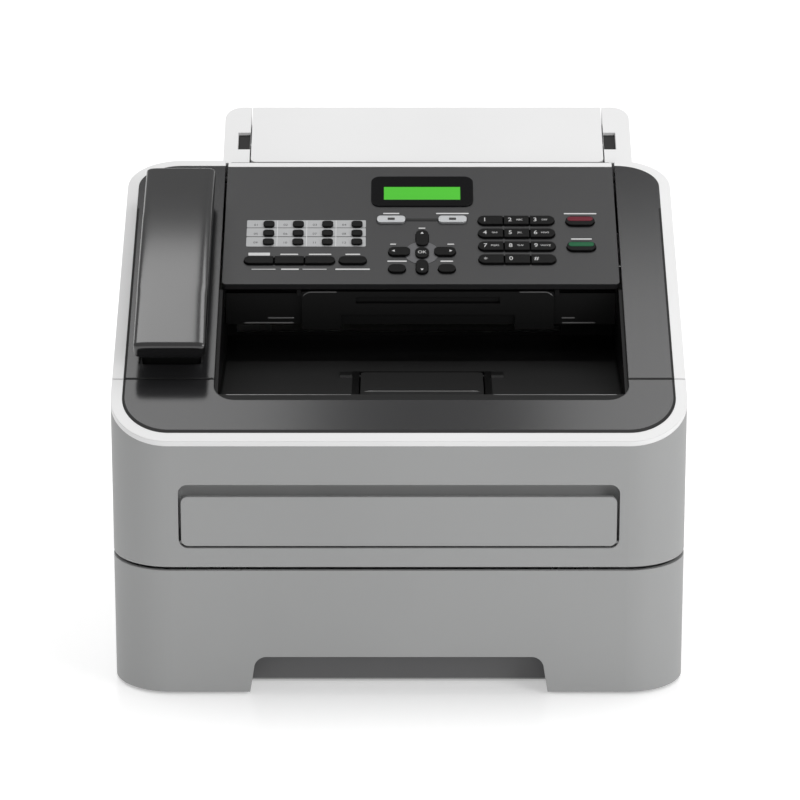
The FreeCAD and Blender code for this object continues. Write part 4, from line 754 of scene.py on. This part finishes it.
@dataclass
class PanelTrim:
    """Printed and thin trim of the control panel.

    Args:
        body, slot: body it rides on and material slot.
        strip, disc, mode_bar: boxes (x0, x1, v0, v1) of the rear strip, the disc behind the arrow keys and the dark
            bar between the mode keys.
        mode_x: middles of the two mode keys.
        label_x, label_rows: sides of the speed-dial label and reach of its rows.
        rules, column_x: ends of the rules under the function keys, and places of the label's column rules.
        touch_x, touch_v: places of the speed-dial numbers.
        dial_x, dial_pitch: place of the first dial digit and distance to the next.
    """

    body: str = Body.PANEL.value
    slot: str = "control_panel"
    strip: tuple = (-116.6, 145.4, 277.4, 281.8)
    disc: tuple = (4.0, 26.6, 174.0, 197.0)
    mode_bar: tuple = (4.5, 26.2, 219.2, 221.6)
    mode_x: tuple = (-5.2, 36.0)
    label_x: tuple = (-102.0, -22.2)
    label_rows: tuple = ((212.2, 219.9), (202.9, 211.6), (192.3, 202.2))
    rules: tuple = ((-97.7, -81.7), (-63.9, -47.9))
    column_x: tuple = (-81.5, -61.8, -42.2)
    touch_x: tuple = (-95.8, -76.1, -56.45, -36.75)
    touch_v: tuple = (214.95, 205.5, 196.3)
    dial_x: float = 57.6
    dial_pitch: float = 16.9

    def plate(self, dresser: Dresser, name: str, box: tuple, top: float, finish: str, r: float) -> None:
        """Put a thin plate on the panel.

        Args:
            dresser: the dresser.
            name: piece name.
            box: (x0, x1, v0, v1).
            top: height of its face.
            finish: name of its finish.
            r: corner radius.
        """
        ease = Ease.ROUND if top > 0.4 else Ease.PRINT
        dresser.dress(pad(name, box, PRINT_LOW, top, ease, r), self.body, finish, self.slot)

    def build(self, dresser: Dresser) -> None:
        """Make the rear strip, nav disc, speed-dial label, rules and key faces.

        Args:
            dresser: the dresser.
        """
        self.plate(dresser, "panel_rear_strip", self.strip, 0.25, "white_shell", 0.6)
        self.plate(dresser, "nav_disc_upper", self.disc, 0.25, "disc_grey", 11.2)
        self.plate(dresser, "mode_bar", self.mode_bar, 0.3, "dark_seams_and_pocket_shade", 0.6)
        for n, (v0, v1) in enumerate(self.label_rows):
            self.plate(dresser, "touch_label_%d" % n, (*self.label_x, v0, v1), 0.12, "label_silver", 0.8)
        for n, (x0, x1) in enumerate(self.rules):
            self.plate(dresser, "rule_%d" % n, (x0, x1, RULE_V - 0.3, RULE_V + 0.3), PRINT_H, "print_white", 0.25)
        for n, x in enumerate(self.column_x):
            self.plate(dresser, "column_rule_%d" % n, (x - 0.2, x + 0.2, 192.5, 219.7), 0.16, "print_white", 0.15)
        for name, x in zip(("left", "right"), self.mode_x):
            icon = pad("mode_icon_" + name, (x - 2.4, x + 2.4, 218.6, 221.0), 1.4, 1.58, Ease.PRINT, 0.5)
            dresser.dress(icon, "mode_keys", "print_dark", "mode_keys")
        for key, finish in (("stop_key", "key_red"), ("start_key", "key_green")):
            x, v, top = spot(dresser.nodes[key])
            place = (x - 8.6, x + 8.6, v - 0.6, v + 4.0)
            face = pad(key + "_face", place, top - 0.3, top + 0.2, Ease.ROUND, 2.2, 0.4)
            dresser.dress(face, key, finish, key)

    def dress(self, dresser: Dresser) -> None:
        """Print the digits, letters and marks.

        Args:
            dresser: the dresser.
        """
        for r, row in enumerate(DIAL_ROWS):
            slot = "dial_keys_row_%d" % (r + 1)
            _, v, top = spot(dresser.nodes[slot])
            for c, words in enumerate(row):
                digit, _, letters = words.partition(" ")
                x = self.dial_x + self.dial_pitch * c
                at = (x, v + (0.0 if digit != "*" else -1.0), top + PRINT_H)
                dresser.legend("digit_%d_%d" % (r, c), digit, at, 5.4, slot, "print_white", slot)
                if letters:
                    at = (x + 6.4, v, top + PRINT_H)
                    dresser.legend("letters_%d_%d" % (r, c), letters, at, 2.3, slot, "print_white", slot)
        for n, x in enumerate(self.touch_x):
            for r, v in enumerate(self.touch_v):
                text = "%02d" % (4 * r + n + 1)
                dresser.legend("touch_%s" % text, text, (x, v, 0.15), 3.0, self.body, "print_dark", self.slot)
        for turn, name in enumerate(("up_key", "left_key", "down_key", "right_key")):
            self.arrow(dresser, name, turn)
        x, v, top = spot(dresser.nodes["ok_key"])
        dresser.legend("ok_mark", "OK", (x, v, top + PRINT_H), 4.0, "ok_key", "print_white", "ok_key")
        under = [
            (key, spot(dresser.nodes[key])[0], span(dresser.nodes[key])[1][1] + KEY_CAPTION_GAP, width, CAPTION_H)
            for key, width in (("clear_key", 13.0), ("menu_key", 8.5))
        ]
        for name, x, v, width, height in (*CAPTION_BARS, *under):
            bar = (x - width / 2, x + width / 2, v - height / 2, v + height / 2)
            self.plate(dresser, "caption_" + name, bar, PRINT_H, "print_white", CAPTION_H / 2)

    def arrow(self, dresser: Dresser, key: str, turn: int) -> None:
        """Print a small triangle near the outer end of an arrow key.

        Formula: three corners at thirds of a turn, the first turned by quarter turns from up.

        Args:
            dresser: the dresser.
            key: node of the key.
            turn: quarter turns anticlockwise from up.
        """
        x, v, top = spot(dresser.nodes[key])
        low, high = span(dresser.nodes[key])
        reach = max(high[0] - low[0], high[1] - low[1]) / 2 - ARROW_INSET
        x, v = x + reach * math.cos(np.pi / 2 * (turn + 1)), v + reach * math.sin(np.pi / 2 * (turn + 1))
        a = np.pi / 2 * (turn + 1) + np.arange(3) * 2 * np.pi / 3
        rings = np.stack([np.ones(3) * ARROW_R, np.zeros(3)])[..., None]
        way = np.stack([np.cos(a), np.sin(a)], -1)[None] * rings
        points = deck(x + way[..., 0], v + way[..., 1], np.full(way.shape[:2], top + PRINT_H))
        dresser.dress(surface("arrow_" + key, points, True, False), key, "print_white", key)


@dataclass
class Studio:
    """White floor, soft lights and the photograph's camera.

    Args:
        lens, pitch, place: focal length, degrees down and place of the camera.
        reach: half size of the floor, and distance of the wall.
        wall_share: height of the wall as a share of the floor's size.
        floor_glow, wall_glow: light of their own, for an even white.
        sky: strength of the light from all round.
    """

    lens: float = 174.6
    pitch: float = 17.51
    place: tuple[float, float, float] = (0.0007, -2.504, 0.932)
    reach: float = 6.0
    wall_share: float = 0.2
    floor_glow: float = 0.35
    wall_glow: float = 0.60
    sky: float = 0.48

    def build(self) -> None:
        """Make the floor, lights and camera."""
        xs, ys = np.meshgrid(*[np.linspace(-self.reach, self.reach, 9)] * 2)
        flat = np.stack([xs, ys, np.zeros(xs.shape)], -1)
        wall = np.stack([xs, np.full(xs.shape, self.reach), (ys + self.reach) * self.wall_share], -1)
        self.sheet("studio_floor", flat, self.floor_glow)
        self.sheet("studio_wall", wall, self.wall_glow)
        world = bpy.context.scene.world or bpy.data.worlds.new("studio")
        bpy.context.scene.world = world
        world.use_nodes = True
        world.node_tree.nodes["Background"].inputs["Color"].default_value = (1.0, 1.0, 1.0, 1.0)
        world.node_tree.nodes["Background"].inputs["Strength"].default_value = self.sky
        lights = (
            ("left_softbox", (-0.66, 0.28, 1.95), (-0.62, 0.28, 0.2), 1.1, 10.0),
            ("right_softbox", (0.72, 0.28, 1.95), (0.68, 0.28, 0.2), 1.1, 10.0),
            ("front_fill", (0.95, -1.0, 0.6), (0.1, -0.15, 0.12), 0.6, 5.0),
        )
        for name, place, target, size, power in lights:
            self.light(name, np.array(place), np.array(target), size, power)
        self.camera()

    def sheet(self, name: str, points: np.ndarray, glow: float) -> None:
        """Add a white sheet of the studio.

        Args:
            name: object name.
            points: its grid in metres.
            glow: its own light, for an even white.
        """
        item = surface(name, points, False)
        material = bpy.data.materials.new(name + "_white")
        material.use_nodes = True
        shader = material.node_tree.nodes["Principled BSDF"]
        shader.inputs["Base Color"].default_value = (0.93, 0.93, 0.93, 1.0)
        shader.inputs["Roughness"].default_value = 0.12
        shader.inputs["Emission Color"].default_value = (1.0, 1.0, 1.0, 1.0)
        shader.inputs["Emission Strength"].default_value = glow
        item.data.materials.append(material)

    def light(self, name: str, place: np.ndarray, target: np.ndarray, size: float, power: float) -> None:
        """Add one softbox.

        Args:
            name: object name.
            place, target: where it stands and what it faces.
            size: side in metres.
            power: watts.
        """
        lamp = bpy.data.lights.new(name, "AREA")
        lamp.size = size
        lamp.energy = power
        item = bpy.data.objects.new(name, lamp)
        item.location = place
        way = target - place
        tilt, turn = math.acos(-way[2] / np.linalg.norm(way)), math.atan2(way[1], way[0]) - math.pi / 2
        item.rotation_euler = (tilt, 0.0, turn)
        bpy.context.scene.collection.objects.link(item)

    def camera(self) -> None:
        """Add the camera of the photograph."""
        lens = bpy.data.cameras.new("photo_camera")
        lens.lens = self.lens
        lens.sensor_width = 36.0
        item = bpy.data.objects.new("photo_camera", lens)
        item.location = self.place
        item.rotation_euler = (math.radians(90.0 - self.pitch), 0.0, 0.0)
        bpy.context.scene.collection.objects.link(item)
        bpy.context.scene.camera = item


def main() -> None:
    """Dress the frame and set the studio."""
    logging.basicConfig(level=logging.INFO)
    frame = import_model()
    bpy.context.scene.view_settings.view_transform = "Standard"
    dresser = Dresser(frame["nodes"])
    dresser.build()
    Handset(frame["nodes"]["handset"]).dress(dresser)
    well = WellTrim()
    well.build(dresser)
    well.dress(dresser)
    trim = PanelTrim()
    trim.build(dresser)
    trim.dress(dresser)
    Studio().build()
    LOG.info("dressed %d nodes", len(frame["nodes"]))


if __name__ == "__main__":
    main()
